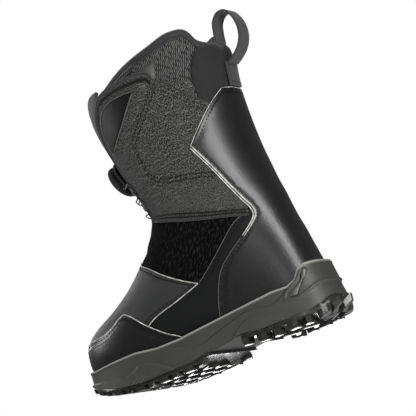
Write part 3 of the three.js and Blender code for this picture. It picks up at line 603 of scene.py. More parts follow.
# ---- Inner boot -------------------------------------------------------------------
# A removable liner of heat-mouldable foam with a knitted face, open at the front where its
# own tongue closes it, bound along the top. The knit has slanting lens-shaped stitches.
knit = finish("padded_knit", {"Roughness": 0.85, "Specular IOR Level": 0.2, "Sheen Weight": 0.25,
                              "Sheen Roughness": 0.5})
flat = put(knit, "UVMap", uv_map="flat").outputs["UV"]
slant = put(knit, "Mapping", {"Vector": flat, "Rotation": (0, 0, math.radians(-38)),
                              "Scale": (700.0, 260.0, 1.0)})
loop = put(knit, "TexVoronoi", {"Vector": slant.outputs["Vector"], "Scale": 1.0, "Randomness": 0.25},
           voronoi_dimensions="2D")
raised = put(knit, "MapRange", {"Value": loop.outputs["Distance"], "From Min": 0.22, "From Max": 0.48,
                                "To Min": 1.0, "To Max": 0.0}, interpolation_type="SMOOTHSTEP")
fibre = put(knit, "TexNoise", {"Vector": flat, "Scale": 1500.0, "Detail": 3.0})
tone = put(knit, "Mix", {"Factor": raised.outputs["Result"], "A": linear("#0c0c0d"),
                         "B": linear("#575755")}, data_type="RGBA")
tone = put(knit, "Mix", {"Factor": 0.5, "A": tone.outputs[2], "B": fibre.outputs["Color"]},
           data_type="RGBA", blend_type="OVERLAY")
bump = put(knit, "Bump", {"Strength": 0.7, "Distance": 0.0008, "Height": raised.outputs["Result"]})
wire(knit, Base_Color=tone.outputs[2], Normal=bump.outputs["Normal"])


def liner_swell(flat):
    """A fuller roll round the calf, and the tuck down the front."""
    return 1.2 * np.exp(-((flat[:, 1] - 238) / 9.0) ** 2) + front_tuck(flat)


top = pattern(LINER_TOP)
edge = pattern(LINER_EDGE)
under = pattern([(-10, 162), (-22, 160), (-40, 158)])
half = joined(top[::-1], edge, under, np.array([(0.5, under[-1, 1])]), along_base(0.5, AROUND))
liner = cut_panel("inner_boot", joined(half, mirrored(half, True)), -6.8, 8.0, knit, roll=2.2, pad=1.6,
                  pitch=4.0, swell=liner_swell)
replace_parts(liner, "liner")
over_ankle(liner)

# The front of its collar is a band of ribbed stretch knit, the ribs standing across it.
ribbed = finish("ribbed_stretch_knit", {"Roughness": 0.85, "Specular IOR Level": 0.2,
                                        "Sheen Weight": 0.3})
flat = put(ribbed, "UVMap", uv_map="flat").outputs["UV"]
across = put(ribbed, "Mapping", {"Vector": flat, "Rotation": (0, 0, math.radians(12)),
                                 "Scale": (1.0, 0.12, 1.0)})
rib = put(ribbed, "TexWave", {"Vector": across.outputs["Vector"], "Scale": 132.0, "Distortion": 0.6,
                              "Detail": 1.0})
tone = put(ribbed, "Mix", {"Factor": rib.outputs["Fac"], "A": linear("#121213"),
                           "B": linear("#4a4a49")}, data_type="RGBA")
bump = put(ribbed, "Bump", {"Strength": 0.8, "Distance": 0.0009, "Height": rib.outputs["Fac"]})
wire(ribbed, Base_Color=tone.outputs[2], Normal=bump.outputs["Normal"])
cord_gum = speckled("binding_cord", "#0b0b0c", "#19191a", 900, 0.6)
microfibre = speckled("brushed_microfibre", "#333332", "#4c4c4a", 1100, 0.6)
for side, tag in SIDES:
    outline = joined(pattern([(-33, 297.5), (-10, 303), (27, 313), (50, 318)], side),
                     pattern([(50, 318), (40, 307), (26, 301), (8, 298), (-14, 293), (-33, 285)], side))
    band = cut_panel("collar_rib_" + tag, outline, -4.6, 2.0, ribbed, roll=1.2, pad=0.8, soft=4)
    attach(band, "cuff")
    line = pattern([(50, 317), (38, 307.5), (22, 302.5), (0, 298.5), (-20, 293)], side)
    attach(pipe("rib_cord_" + tag, [(line, -3.4)], cord_gum, 1.1), "cuff")
    wedge = joined(pattern([(68, 309), (63, 291), (56, 288)], side, sharp=True),
                   pattern([(56, 288), (30, 296), (42, 302.5)], side, sharp=True),
                   pattern([(42, 302.5), (68, 309)], side, sharp=True))
    gore = cut_panel("collar_gore_" + tag, wedge, -3.4, 1.4, microfibre, roll=0.8)
    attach(gore, "cuff")

# Binding: folded knit tape over the raw top edge, with a second line of cord below it.
tape = finish("folded_binding_tape", {"Base Color": linear("#111112"), "Roughness": 0.7,
                                      "Sheen Weight": 0.2})
twill = put(tape, "TexWave", {"Vector": put(tape, "TexCoord").outputs["Object"], "Scale": 420.0,
                              "Distortion": 2.0}, bands_direction="DIAGONAL")
wire(tape, Normal=put(tape, "Bump", {"Strength": 0.5, "Distance": 0.0003,
                                     "Height": twill.outputs["Fac"]}).outputs["Normal"])
rim_line = pattern(moved(LINER_TOP, 0, 1.5))
whole = joined(rim_line, mirrored(rim_line, True))
binding = pipe("collar_binding", [(whole, -10.2)], tape, 5.3, sides=14)
lower_cord = pattern(moved(LINER_TOP, 0, -3.6))
cord = pipe("collar_binding_cord", [(joined(lower_cord, mirrored(lower_cord, True)), -5.2)], tape, 1.0)
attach(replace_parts(binding, "liner_binding"), "cuff")
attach(cord, "cuff")

# Its tongue is one thick pad of the same foam under the shell's tongue.
edge = pattern(moved(LINER_EDGE, -1.2, 0))
foot = np.array([(0.0, edge[-1, 1] + 4)])
half = joined(edge, foot)
pad = cut_panel("inner_boot_tongue", joined(half, mirrored(half)), -7.4, 7.5, ribbed, roll=2.0, pad=1.6)
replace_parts(pad, "liner_tongue")
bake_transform(pad)

# ---- Shell tongue -------------------------------------------------------------------
# The overlapping front flap: brushed ballistic nylon over foam. The wings close on it,
# and its lower end is stitched to the cuff. A folded webbing tab stands at its top.
nylon = finish("ballistic_nylon", {"Roughness": 0.75, "Sheen Weight": 0.15})
flat = put(nylon, "UVMap", uv_map="flat").outputs["UV"]
weave = put(nylon, "TexChecker", {"Vector": flat, "Scale": 900.0, "Color1": linear("#1e1c1a"),
                                  "Color2": linear("#2c2a27")})
wire(nylon, Base_Color=weave.outputs["Color"],
     Normal=put(nylon, "Bump", {"Strength": 0.4, "Distance": 0.0003,
                                "Height": weave.outputs["Fac"]}).outputs["Normal"])
edge = pattern([(-17, 312), *moved(TONGUE_EDGE[1:], 7, 0)])
top = pattern([(-17, 312), (-30, 314), (-80, 314)])
foot = pattern([(-1, 160.5), (-25, 169), (-60, 184)])
half = joined(top[::-1], edge, foot)
flap = cut_panel("shell_tongue_pad", joined(half, mirrored(half)), -1.6, 3.6, nylon, roll=1.2, pad=1.2)
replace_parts(flap, "shell_tongue")
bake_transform(flap)

# ---- Lower boot: gusset -------------------------------------------------------------
# A stretch mesh gusset between vamp and cuff lets the ankle flex. Its knit runs in
# upright ribs; the whole piece is tucked under the panels round it.
mesh_cloth = finish("stretch_mesh", {"Roughness": 0.95, "Specular IOR Level": 0.08})
flat = put(mesh_cloth, "UVMap", uv_map="flat").outputs["UV"]
upright = put(mesh_cloth, "Mapping", {"Vector": flat, "Scale": (760.0, 170.0, 1.0)})
streak = put(mesh_cloth, "TexNoise", {"Vector": upright.outputs["Vector"], "Scale": 1.0, "Detail": 3.0})
sparse = put(mesh_cloth, "MapRange", {"Value": streak.outputs["Fac"], "From Min": 0.5,
                                      "From Max": 0.72})
tone = put(mesh_cloth, "Mix", {"Factor": sparse.outputs["Result"], "A": linear("#010101"),
                               "B": linear("#242423")}, data_type="RGBA")
bump = put(mesh_cloth, "Bump", {"Strength": 0.8, "Distance": 0.0007, "Height": streak.outputs["Fac"]})
wire(mesh_cloth, Base_Color=tone.outputs[2], Normal=bump.outputs["Normal"])


def ankle_folds(flat):
    """Soft folds low on the instep, where the gusset buckles as the ankle bends."""
    front = np.exp(-(flat[:, 0] / 45.0) ** 2)
    return 1.1 * front * (np.sin((flat[:, 1] - 118) / 2.2) * np.exp(-((flat[:, 1] - 120) / 16) ** 2))


low = pattern(moved(VAMP_TOP, 2, -9)[1:])
strip = pattern(moved(STRIP_FRONT, 5, -4))
high = pattern(moved(CUFF_LOW, -1, 10))
half = joined(low, strip[strip[:, 1] > low[-1, 1]], high[::-1])
gusset = cut_panel("ankle_gusset", joined(half, mirrored(half)), -1.5, 1.2, mesh_cloth, roll=0.3,
                   swell=ankle_folds)
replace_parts(gusset, "ankle_gusset_lateral", "ankle_gusset_medial",
            "instep_gusset")
over_ankle(gusset)

# ---- Lower boot: quarters -------------------------------------------------------------
# Matt synthetic nubuck, one panel a side, with a tapering strip that runs up beside the
# gusset. Its front edge is folded and sewn down with two rows.
def leather(name, code, grain_code, rough, grain=950.0, depth=0.00025, strength=0.35, **more):
    """Polyurethane-faced synthetic leather: an even colour, a pebbled grain, a softly worn tone, and
    painted shade that darkens its sewn grooves.
    """
    material = finish(name, {k.replace("_", " "): v for k, v in more.items()})
    place = put(material, "TexCoord").outputs["Object"]
    pebble = put(material, "TexVoronoi", {"Vector": place, "Scale": grain}, feature="SMOOTH_F1")
    cloud = put(material, "TexNoise", {"Vector": place, "Scale": 28.0, "Detail": 5.0, "Roughness": 0.6})
    tone = put(material, "Mix", {"Factor": cloud.outputs["Fac"], "A": linear(code),
                                 "B": linear(grain_code)}, data_type="RGBA")
    gloss = put(material, "MapRange", {"Value": cloud.outputs["Fac"], "From Min": 0.3, "From Max": 0.7,
                                       "To Min": rough - 0.03, "To Max": rough + 0.03})
    bump = put(material, "Bump", {"Strength": strength, "Distance": depth,
                                  "Height": pebble.outputs["Distance"]})
    # Painted shade: the seam mask darkens the colour to near-black down each sewn groove.
    seam = put(material, "Attribute", attribute_name="seam").outputs["Fac"]
    groove_painted_shade = put(material, "MapRange", {"Value": seam, "To Max": 0.8}).outputs["Result"]
    tone = put(material, "Mix", {"Factor": groove_painted_shade, "A": tone.outputs[2], "B": linear("#020202")},
               data_type="RGBA")
    wire(material, Base_Color=tone.outputs[2], Roughness=gloss.outputs["Result"],
         Normal=bump.outputs["Normal"])
    return material


nubuck = leather("synthetic_nubuck", "#0a0b0b", "#111212", 0.6, grain=1300.0, Specular_IOR_Level=0.18)
vamp_hide = leather("vamp_synthetic_leather", "#1e1f1f", "#272827", 0.52, grain=1300.0)
# Painted highlight: this light grey colours the folded edges and piping for the light they catch; noise
# varies how bright it is.
edge_highlight_paint = finish("painted_edge_highlight", {"Base Color": linear("#8d8d89"), "Roughness": 0.35})
highlight_noise = put(edge_highlight_paint, "TexNoise", {"Vector": put(edge_highlight_paint, "TexCoord").outputs["Object"],
                                  "Scale": 160.0, "Detail": 4.0})
highlight_spread = put(edge_highlight_paint, "MapRange", {"Value": highlight_noise.outputs["Fac"], "From Min": 0.35, "From Max": 0.65})
tone = put(edge_highlight_paint, "Mix", {"Factor": highlight_spread.outputs["Result"], "A": linear("#7c7c79"),
                             "B": linear("#c9c9c4")}, data_type="RGBA")
wire(edge_highlight_paint, Base_Color=tone.outputs[2])

# Painted highlight: the quarter's folded front edge and the backstay's foot edge are coloured mid grey for
# the light they catch.
turned_edge_highlight = leather("turned_edge_painted_highlight", "#3b3b39", "#555552", 0.45)
for side, tag in SIDES:
    front = pattern(STRIP_FRONT, side)
    stay = pattern(moved(STAY_LOWER[2:], 5, 2), side)
    seam = pattern(moved(QUARTER_SEAM, 0, 6)[::-1], side)
    toe = pattern(moved(TOE_SEAM[7:], -6, -2), side)
    outline = joined(front, stay, along_base(stay[-1, 0], toe[-1, 0]), toe[::-1], seam[::-1][1:])
    lines = [beside(front, -2.4 * side), beside(front, -5.0 * side)]
    quarter = cut_panel("quarter_panel_" + tag, outline, -0.5, 1.3, nubuck, roll=0.5, sewn=lines)
    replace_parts(quarter, "quarter_" + tag)
    stitches = sew("quarter_stitching_" + tag, [(line, -0.8) for line in lines])
    welt = pipe("quarter_edge_" + tag, [(front, -0.75)], turned_edge_highlight, 0.4)
    over_ankle(quarter, stitches, welt)

# ---- Lower boot: vamp and toe cap --------------------------------------------------------
# The vamp wraps the instep in one piece; the toe cap of harder, smoother leather is lapped
# over it. Both have a folded edge, a cord coloured light grey as a painted highlight. Two
# rows of stitches hold the vamp along the quarters, and one row each holds its top and the toe cap.
top = pattern(VAMP_TOP)
seam = pattern(QUARTER_SEAM)
toe = pattern(moved(TOE_SEAM[:8], -3, -5))
half = joined(top, seam[::-1], toe[::-1])
lines = []
for side in (1, -1):
    a, b = pattern(VAMP_TOP, side), pattern(QUARTER_SEAM, side)
    lines += [beside(a, -2.6 * side), beside(b, 2.4 * side), beside(b, 5.0 * side)]
vamp = cut_panel("vamp_panel", joined(half, mirrored(half)), 0.4, 1.5, vamp_hide, roll=0.7, sewn=lines)
stitches = sew("vamp_stitching", [(line, 0.1) for line in lines])
welt = pipe("vamp_edge", [(joined(mirrored(top), top), 0.35), (seam, 0.25), (mirrored(seam), 0.25)],
            edge_highlight_paint, 0.5)
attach(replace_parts(vamp, "vamp"), "lower_boot")
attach(stitches, "lower_boot")
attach(welt, "lower_boot")

toe_hide = leather("smooth_toe_leather", "#080809", "#0e0e0f", 0.34, grain=800.0, strength=0.2)
toe = pattern(TOE_SEAM)
half = joined(toe, along_base(toe[-1, 0], 0.0))
lines = [beside(pattern(TOE_SEAM, side), -2.8 * side) for side in (1, -1)]
cap = cut_panel("toe_cap_panel", joined(half, mirrored(half)), 0.9, 1.6, toe_hide, roll=0.8, sewn=lines)
stitches = sew("toe_cap_stitching", [(line, 0.6) for line in lines])
welt = pipe("toe_cap_edge", [(joined(mirrored(toe), toe), 0.8)], edge_highlight_paint, 0.6)
ridge = beside(toe, -7.2)
bead_line = pipe("toe_cap_bead", [(joined(mirrored(ridge), ridge), 0.75)], toe_hide, 0.55)
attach(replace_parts(cap, "toe_cap"), "lower_boot")
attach(stitches, "lower_boot")
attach(welt, "lower_boot")
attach(bead_line, "lower_boot")

# ---- Backstay -------------------------------------------------------------------------
# One large panel of satin-faced synthetic leather from the sole to the top of the cuff, which
# carries the heel and the calf. Below the notch its edge has two cords of piping.
stay_hide = leather("satin_synthetic_leather", "#070708", "#0d0d0e", 0.35, grain=700.0, strength=0.4,
                    depth=0.0002, Specular_IOR_Level=0.65)
upper, lower, rim = pattern(STAY_UPPER), pattern(STAY_LOWER), pattern(STAY_TOP)
half = joined(rim[::-1], upper, lower, along_base(lower[-1, 0], AROUND))
lines, cords = [], []
for side in (1, -1):
    a, b, c = pattern(STAY_UPPER, side), pattern(STAY_LOWER, side), pattern(STAY_TOP, side)
    split = int(len(b) * 0.52)
    lines += [beside(a, 2.4 * side), beside(b, 4.4 * side), beside(b[split:], 2.2 * side),
              beside(c, -2.4 * side)]
    cords += [(b[:split], 0.55), (beside(b[:split], 2.1 * side), 0.95)]
stay = cut_panel("backstay_panel", joined(half, mirrored(half, True)), 0.6, 1.6, stay_hide, roll=0.7,
                 sewn=lines)
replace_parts(stay, "backstay")
stitches = sew("backstay_stitching", [(line, 0.3) for line in lines])
# The piping and the top edges take the light grey of the painted edge highlight.
piping = pipe("backstay_piping", cords, edge_highlight_paint, 0.62)
edges = pipe("backstay_edge", [(upper, 0.35), (mirrored(upper), 0.35),
                               (joined(rim, mirrored(rim, True)), 0.3)], edge_highlight_paint, 0.36)
foot_edges = pipe("backstay_foot_edge", [(pattern(STAY_LOWER, s)[split:], 0.35) for s in (1, -1)],
                  turned_edge_highlight, 0.36)
over_ankle(stay, stitches, piping, edges, foot_edges)

# ---- Midsole ------------------------------------------------------------------------
# Compression-moulded EVA foam, warm grey. Its wall is carved: a lip round the top, a bevelled
# band below it, raised arches over the tread and a ribbed heel cup, and it flares at the heel.
WAIST = 1.2                # slice of the last that the sole's plan follows
SOLE_LIP, HEEL_RAKE = 4.5, 8.0
TREAD = [(-175, 34), (-150, 22), (-135, 15.5), (-116, 9), (-93, 4), (-70, .6), (-58, 0), (-8, 0),
         (8, 3), (30, 4.5), (56, 3), (72, 0), (128, 0), (140, 3), (150, 9), (175, 26)]
FEATHER = [(-175, 46), (-150, 45), (-135, 42), (-95, 41), (-69, 40), (-42, 35.5), (-15, 35), (53, 40),
           (95, 43), (112, 42), (121, 46), (127, 55), (133, 58.5), (175, 59)]
FORE_ARCH = [(-170, 36), (-150, 32), (-122, 26.5), (-104, 23), (-90, 20.5), (-78, 22), (-70, 26),
             (-63, 26.5), (-46, 19), (-32, 10), (-28, 2)]
BAND = [(-39, 36), (-30, 32), (-18, 28), (4, 21.5), (10, 22), (15, 23.5), (41, 30.5), (63, 35),
        (75, 34), (91, 31.5), (98, 33), (105, 36.5), (116, 43.5), (122, 48)]
MID_ARCH = [(36, 6), (41, 14), (52, 22.5), (60, 26.5), (66, 27.5), (84, 22), (97, 14.5), (103, 9)]
HEEL_RIB = [(136, 60), (132, 58), (126, 48), (115, 40), (109, 36), (106.5, 31), (110, 29), (121, 27.5),
            (131, 31), (140, 35), (170, 36)]
BADGE = [(133, 56), (136, 52), (120, 29), (109, 31), (123, 40)]


def height(line, y):
    """The height of a seam line at y, in mm."""
    y_at, z_at = np.array(line).T
    return np.interp(y, y_at, z_at)


def foam_bottom(y):
    """Where the foam stops and the rubber starts: 8 mm up at the forefoot, 12 mm at the heel."""
    return height(TREAD, y) + np.clip(8 + (y - 30) * 4 / 20, 8, 12)


def soft_step(d, width=1.2):
    """0 before a line, 1 past it, with a soft change width mm wide."""
    f = np.clip(d / width + 0.5, 0, 1)
    return f * f * (3 - 2 * f)


def sole_plan(out, count=360):
    """The sole's outline seen from above, from the toe round the outer side, out mm past the last."""
    u = np.linspace(-1, 1, 2 * count, endpoint=False) * AROUND
    p = on_last(np.stack([u, np.full(len(u), WAIST * STEP)], 1)) * 1000
    xy = p[:, :2] - (0, FORWARD)
    for _ in range(3):
        xy = (np.roll(xy, 1, 0) + 2 * xy + np.roll(xy, -1, 0)) / 4
    t = np.roll(xy, -1, 0) - np.roll(xy, 1, 0)
    t /= np.linalg.norm(t, axis=1)[:, None]
    return xy + np.stack([t[:, 1], -t[:, 0]], 1) * out, np.stack([t[:, 1], -t[:, 0]], 1), u / AROUND


def carving(y, z):
    """How far the moulded wall stands out, in mm, at a place seen from the side."""
    p = np.stack([y, z], 1)
    out = 1.7 * soft_step(height(FORE_ARCH, y) - z) * (y < -27)
    out += 1.7 * soft_step(height(MID_ARCH, y) - z) * (y > 35) * (y < 104)
    band = spline(BAND, 1.0)
    out -= 1.1 * soft_step(z - height(BAND, y), 1.4) * (y > -39) * (y < 122)
    out -= 0.9 * np.exp(-(edge_distance(p, band, False) / 0.8) ** 2)
    rib = edge_distance(p, spline(HEEL_RIB, 1.0), False)
    out += 1.5 * np.exp(-(rib / 1.5) ** 2)
    out += 0.8 * inside_of(p, np.array(HEEL_RIB + [(170, 60)], float))
    badge = np.array(BADGE, float)
    out -= 1.6 * inside_of(p, badge) * soft_step(edge_distance(p, badge) - 0.8, 1.0)
    vent = [[(-84, 12), (-76, 16)], [(-80, 10), (-71, 15)], [(-74, 10), (-66, 14)]]
    for line in vent:
        out -= 0.8 * np.exp(-(edge_distance(p, np.array(line, float),
                                            False) / 0.7) ** 2) * (z < height(FORE_ARCH, y) - 2)
    return out


ROWS, COLS = 44, 720       # up the wall, and round it
INSET = (0, 0.25, 0.8, 1.6, 3.0, 5.0, 7.0)      # mm in from the wall, over the lip row by row
SINK = (0, -0.45, -0.6, -0.5, 0.4, 1.0, 1.5)    # mm down from the top edge
plan, plan_normal, plan_u = sole_plan(SOLE_LIP)
rake = HEEL_RAKE * np.clip((np.abs(plan_u) - 0.72) / 0.28, 0, 1) ** 2
bpy.ops.mesh.primitive_grid_add(x_subdivisions=COLS, y_subdivisions=ROWS + len(SINK) - 1, size=1)
wall = bpy.context.active_object
wall.name = "midsole_wall"
wall.select_set(False)
points = np.empty((ROWS + len(SINK), COLS + 1, 3))
for r in range(len(points)):
    w = min(r / ROWS, 1.0)
    low_z, high_z = foam_bottom(plan[:, 1]), height(FEATHER, plan[:, 1])
    z = low_z + (high_z - low_z) * w
    depth = carving(plan[:, 1] + rake * (1 - w),
                    z) * soft_step(np.minimum(high_z - z - 1.2, z - low_z + 1.0), 1.5)
    depth += 0.5 * np.exp(-((high_z - z - 1.2) / 1.1) ** 2) + 0.8 * (1 - w) ** 2
    over = max(r - ROWS, 0)
    row = plan + plan_normal * (depth - INSET[over])[:, None]
    row[:, 1] += rake * (1 - w) ** 1.1
    row = np.concatenate([row, row[:1]])
    z = np.append(z, z[0]) - SINK[over]
    points[r] = np.stack([row[:, 0], row[:, 1] + FORWARD, z], 1) / 1000
wall.data.vertices.foreach_set("co", points.reshape(-1, 3).ravel())
lip_rows = np.zeros(points.shape[:2], np.float32)
lip_rows[:] = np.abs(np.arange(len(points)) - ROWS)[:, None]
wall.data.attributes.new("lip_rows", "FLOAT", "POINT").data.foreach_set("value", lip_rows.ravel())
bpy.context.view_layer.objects.active = wall
wall.select_set(True)
bpy.ops.object.mode_set(mode="EDIT")
bpy.ops.mesh.select_all(action="SELECT")
bpy.ops.mesh.remove_doubles(threshold=0.00001)
bpy.ops.mesh.normals_make_consistent(inside=False)
bpy.ops.object.mode_set(mode="OBJECT")
wall.select_set(False)
wall.data.polygons.foreach_set("use_smooth", [True] * len(wall.data.polygons))

foam = finish("moulded_eva_foam", {})
place = put(foam, "TexCoord").outputs["Object"]
cell = put(foam, "TexNoise", {"Vector": place, "Scale": 1400.0, "Detail": 3.0})
dirt = put(foam, "TexNoise", {"Vector": place, "Scale": 35.0, "Detail": 4.0})
tone = put(foam, "Mix", {"Factor": dirt.outputs["Fac"], "A": linear("#2a2a29"),
                         "B": linear("#363634")}, data_type="RGBA")
# Painted highlight: the rows round the lip's rounded top edge are mixed towards light grey.
lip_highlight = put(foam, "MapRange", {"Value": put(foam, "Attribute",
        attribute_name="lip_rows").outputs["Fac"], "From Min": 1.0, "From Max": 3.0, "To Min": 0.55,
        "To Max": 0.0})
tone = put(foam, "Mix", {"Factor": lip_highlight.outputs["Result"], "A": tone.outputs[2],
                         "B": linear("#a5a49f")}, data_type="RGBA")
gloss = put(foam, "MapRange", {"Value": dirt.outputs["Fac"], "To Min": 0.42, "To Max": 0.62})
bump = put(foam, "Bump", {"Strength": 0.25, "Distance": 0.0002, "Height": cell.outputs["Fac"]})
wire(foam, Base_Color=tone.outputs[2], Roughness=gloss.outputs["Result"], Normal=bump.outputs["Normal"])
wall.data.materials.append(foam)
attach(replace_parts(wall, "midsole"), "lower_boot")


def zipped(out, y0, y1, count=360):
    """Rows across the sole from toe to heel: outer edge, middle, inner edge, as x and y."""
    p, _, _ = sole_plan(out, count)
    outer, inner = p[count:], p[count::-1][:count]
    keep = (outer[:, 1] >= y0) & (outer[:, 1] <= y1)
    return outer[keep], inner[keep]


def sole_sheet(name, out, y0, y1, z_of, across, material, rake_of=None):
    """A sheet across the sole, out mm past the last, from y0 to y1, at the height z_of gives."""
    outer, inner = zipped(out, y0, y1)
    middle = (outer + inner) / 2 * (0, 1)
    f = np.linspace(-1, 1, 2 * across + 1)
    points = []
    for a, m, b in zip(outer, middle, inner):
        for g in f:
            p = m + (a - m) * g if g >= 0 else m + (b - m) * -g
            points.append((p[0], p[1]))
    points = np.array(points)
    if rake_of:
        points[:, 1] += rake_of(points)
    z = z_of(points[:, 1])
    n = len(f)
    faces = [(i * n + j, i * n + j + 1, (i + 1) * n + j + 1, (i + 1) * n + j)
             for i in range(len(outer) - 1) for j in range(n - 1)]
    return new_piece(name, np.stack([points[:, 0], points[:, 1] + FORWARD, z], 1) / 1000, faces,
                     material)


# Painted shade: the foam under the sole between the tread plates is coloured near-black for the shadow
# there.
painted_shade_base = speckled("foam_base_painted_shade", "#121212", "#1d1d1c", 900, 0.7)
base = sole_sheet("midsole_base", SOLE_LIP + 0.6, -170, 150, lambda y: foam_bottom(y) - 0.1, 8,
                  painted_shade_base)
outward(base)
apply(base, "SOLIDIFY", thickness=0.004, offset=-1.0)
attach(base, "lower_boot")

# Inlay on the heel cup: a moulded plate with a plain pebble pattern.
inlay = speckled("textured_tpu_inlay", "#2c2b28", "#5a5954", 650, 0.4)
for side, tag in SIDES:
    outer = plan[(plan_u * side > 0)]
    outer_normal = plan_normal[(plan_u * side > 0)]
    order = np.argsort(outer[:, 1])
    ring = joined(spline([(131.5, 54), (133.5, 51.5), (127, 41), (119, 30.5)], 1.5),
                  spline([(119, 30.5), (111, 32)], 1.5),
                  spline([(111, 32), (118, 36.5), (124.5, 40.5), (131.5, 54)], 1.5))
    grid = np.array([(y, z) for y in np.arange(109, 136, 1.3) for z in np.arange(29, 56, 1.3)])
    grid = grid[inside_of(grid, ring)]
    grid = grid[edge_distance(grid, ring) > 0.8]
    done = delaunay_2d_cdt([Vector(p) for p in np.concatenate([ring, grid])], [],
                           [list(range(len(ring)))], 1, 1e-5)
    yz = np.array([tuple(p) for p in done[0]])
    x = np.interp(yz[:, 0], outer[order, 1], outer[order, 0])
    nx = np.interp(yz[:, 0], outer[order, 1], outer_normal[order, 0])
    ny = np.interp(yz[:, 0], outer[order, 1], outer_normal[order, 1])
    d = edge_distance(yz, ring)
    studs = 0.35 * (np.sin(yz[:, 0] * 2.4 + yz[:, 1]) * np.sin(yz[:, 1] * 2.1 - yz[:,
            0] * 0.6) > 0.1) * (d > 1.2)
    out = 0.6 + 0.4 * np.minimum(d, 1) + studs
    points = np.stack([x + nx * out, yz[:, 0] + ny * out + FORWARD, yz[:, 1]], 1) / 1000
    plate = new_piece("heel_inlay_" + tag, points, done[2], inlay)
    apply(plate, "SOLIDIFY", thickness=0.0016, offset=-1.0 if side < 0 else 1.0)
    outward(plate)
    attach(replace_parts(plate, "heel_badge_" + tag), "lower_boot")

# ---- Outsole ----------------------------------------------------------------------
# Two plates of hard black rubber, moulded with their lugs and bonded under the foam. The
# lugs at the edge are blocks, those inside are chevrons, and all are deeper at the heel.
rubber = finish("moulded_rubber", {"Specular IOR Level": 0.6})
place = put(rubber, "TexCoord").outputs["Object"]
cloud = put(rubber, "TexNoise", {"Vector": place, "Scale": 120.0, "Detail": 5.0})
fine = put(rubber, "TexNoise", {"Vector": place, "Scale": 1600.0, "Detail": 2.0})
tone = put(rubber, "Mix", {"Factor": cloud.outputs["Fac"], "A": linear("#141413"),
                           "B": linear("#232321")}, data_type="RGBA")
gloss = put(rubber, "MapRange", {"Value": cloud.outputs["Fac"], "From Min": 0.3, "From Max": 0.7,
                                 "To Min": 0.16, "To Max": 0.38})
bump = put(rubber, "Bump", {"Strength": 0.2, "Distance": 0.0002, "Height": fine.outputs["Fac"]})
wire(rubber, Base_Color=tone.outputs[2], Roughness=gloss.outputs["Result"],
     Normal=bump.outputs["Normal"])


def heel_rake(points):
    """How far the rubber flares back at the heel, in mm."""
    return HEEL_RAKE * np.clip((points[:, 1] - 75) / 62, 0, 1) ** 2


PLATE = {"forefoot": (-175, 12, 3.4), "heel": (50, 175, 5.0)}
for tag, (y0, y1, thick) in PLATE.items():
    plate = sole_sheet("outsole_plate_" + tag, SOLE_LIP + 0.9, y0, y1,
                       lambda y: foam_bottom(y) - thick, 12, rubber, heel_rake)
    outward(plate)
    bpy.context.view_layer.update()
    if plate.data.polygons[len(plate.data.polygons) // 2].normal.z > 0:
        plate.data.flip_normals()
    apply(plate, "SOLIDIFY", thickness=(thick + 0.4) / 1000, offset=-1.0)
    apply(plate, "BEVEL", width=0.0009, segments=2, limit_method="ANGLE", angle_limit=math.radians(50))
    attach(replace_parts(plate, "outsole_" + tag), "lower_boot")


def lug_shape(outline, taper, bevel):
    """One lug, 1 high, foot on z 1 and tip on z 0: an outline in mm, drawn in and bevelled at the tip."""
    bpy.ops.mesh.primitive_circle_add(vertices=len(outline), fill_type="NGON", radius=1)
    lug = bpy.context.active_object
    for vertex, (x, y) in zip(lug.data.vertices, outline):
        vertex.co = (x, y, 6.0)
    bpy.ops.object.mode_set(mode="EDIT")
    bpy.ops.mesh.select_all(action="SELECT")
    bpy.ops.mesh.extrude_region_move(TRANSFORM_OT_translate={"value": (0, 0, -6.0)})
    bpy.ops.transform.resize(value=(taper, taper, 1),
                             center_override=(np.mean([p[0] for p in outline]),
                                              np.mean([p[1] for p in outline]), 0))
    bpy.ops.mesh.bevel(offset=bevel, segments=2, affect="EDGES")
    bpy.ops.mesh.select_all(action="SELECT")
    bpy.ops.mesh.normals_make_consistent(inside=False)
    bpy.ops.object.mode_set(mode="OBJECT")
    shape = np.array([v.co for v in lug.data.vertices]), [tuple(f.vertices) for f in lug.data.polygons]
    shape[0][:, 2] /= 6.0
    bpy.data.objects.remove(lug)
    return shape


block = lug_shape([(-6, -6.2), (5.5, -5), (6.4, 0), (5.5, 5), (-6, 6.2), (-4, 0)], 0.86, 0.7)
notch = lug_shape([(-7, -5), (-1, -7), (6.5, -3), (6.5, 2), (1, -1), (-5, 4)], 0.88, 0.6)
chevron = lug_shape([(-11, 4), (0, -4), (11, 4), (11, 9), (0, 2.5), (-11, 9)], 0.9, 0.6)
claw = lug_shape([(-12, 8), (-3, -7), (3, -7), (12, 8), (8, 9), (0, -1), (-8, 9)], 0.88, 0.8)


def lugs(name, spots, plate_drop):
    """Copies of the lugs: each spot is a shape, its x and y, its turn in degrees and its size both ways."""
    points, faces = [], []
    for (shape, shape_faces), x, y, degrees, sx, sy in spots:
        a = math.radians(degrees)
        c, s = math.cos(a), math.sin(a)
        local = shape * (sx, sy, 1)
        px = x + local[:, 0] * c - local[:, 1] * s
        py = y + local[:, 0] * s + local[:, 1] * c
        foot, tip = foam_bottom(py) - plate_drop + 0.6, height(TREAD, py)
        pz = tip + (foot - tip) * local[:, 2]
        start = len(points)
        points.extend(np.stack([px, py + FORWARD, pz], 1) / 1000)
        faces.extend([k + start for k in f] for f in shape_faces)
    piece = new_piece(name, points, faces, rubber)
    outward(piece)
    piece.data.polygons.foreach_set("use_smooth", [False] * len(piece.data.polygons))
    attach(piece, "lower_boot")


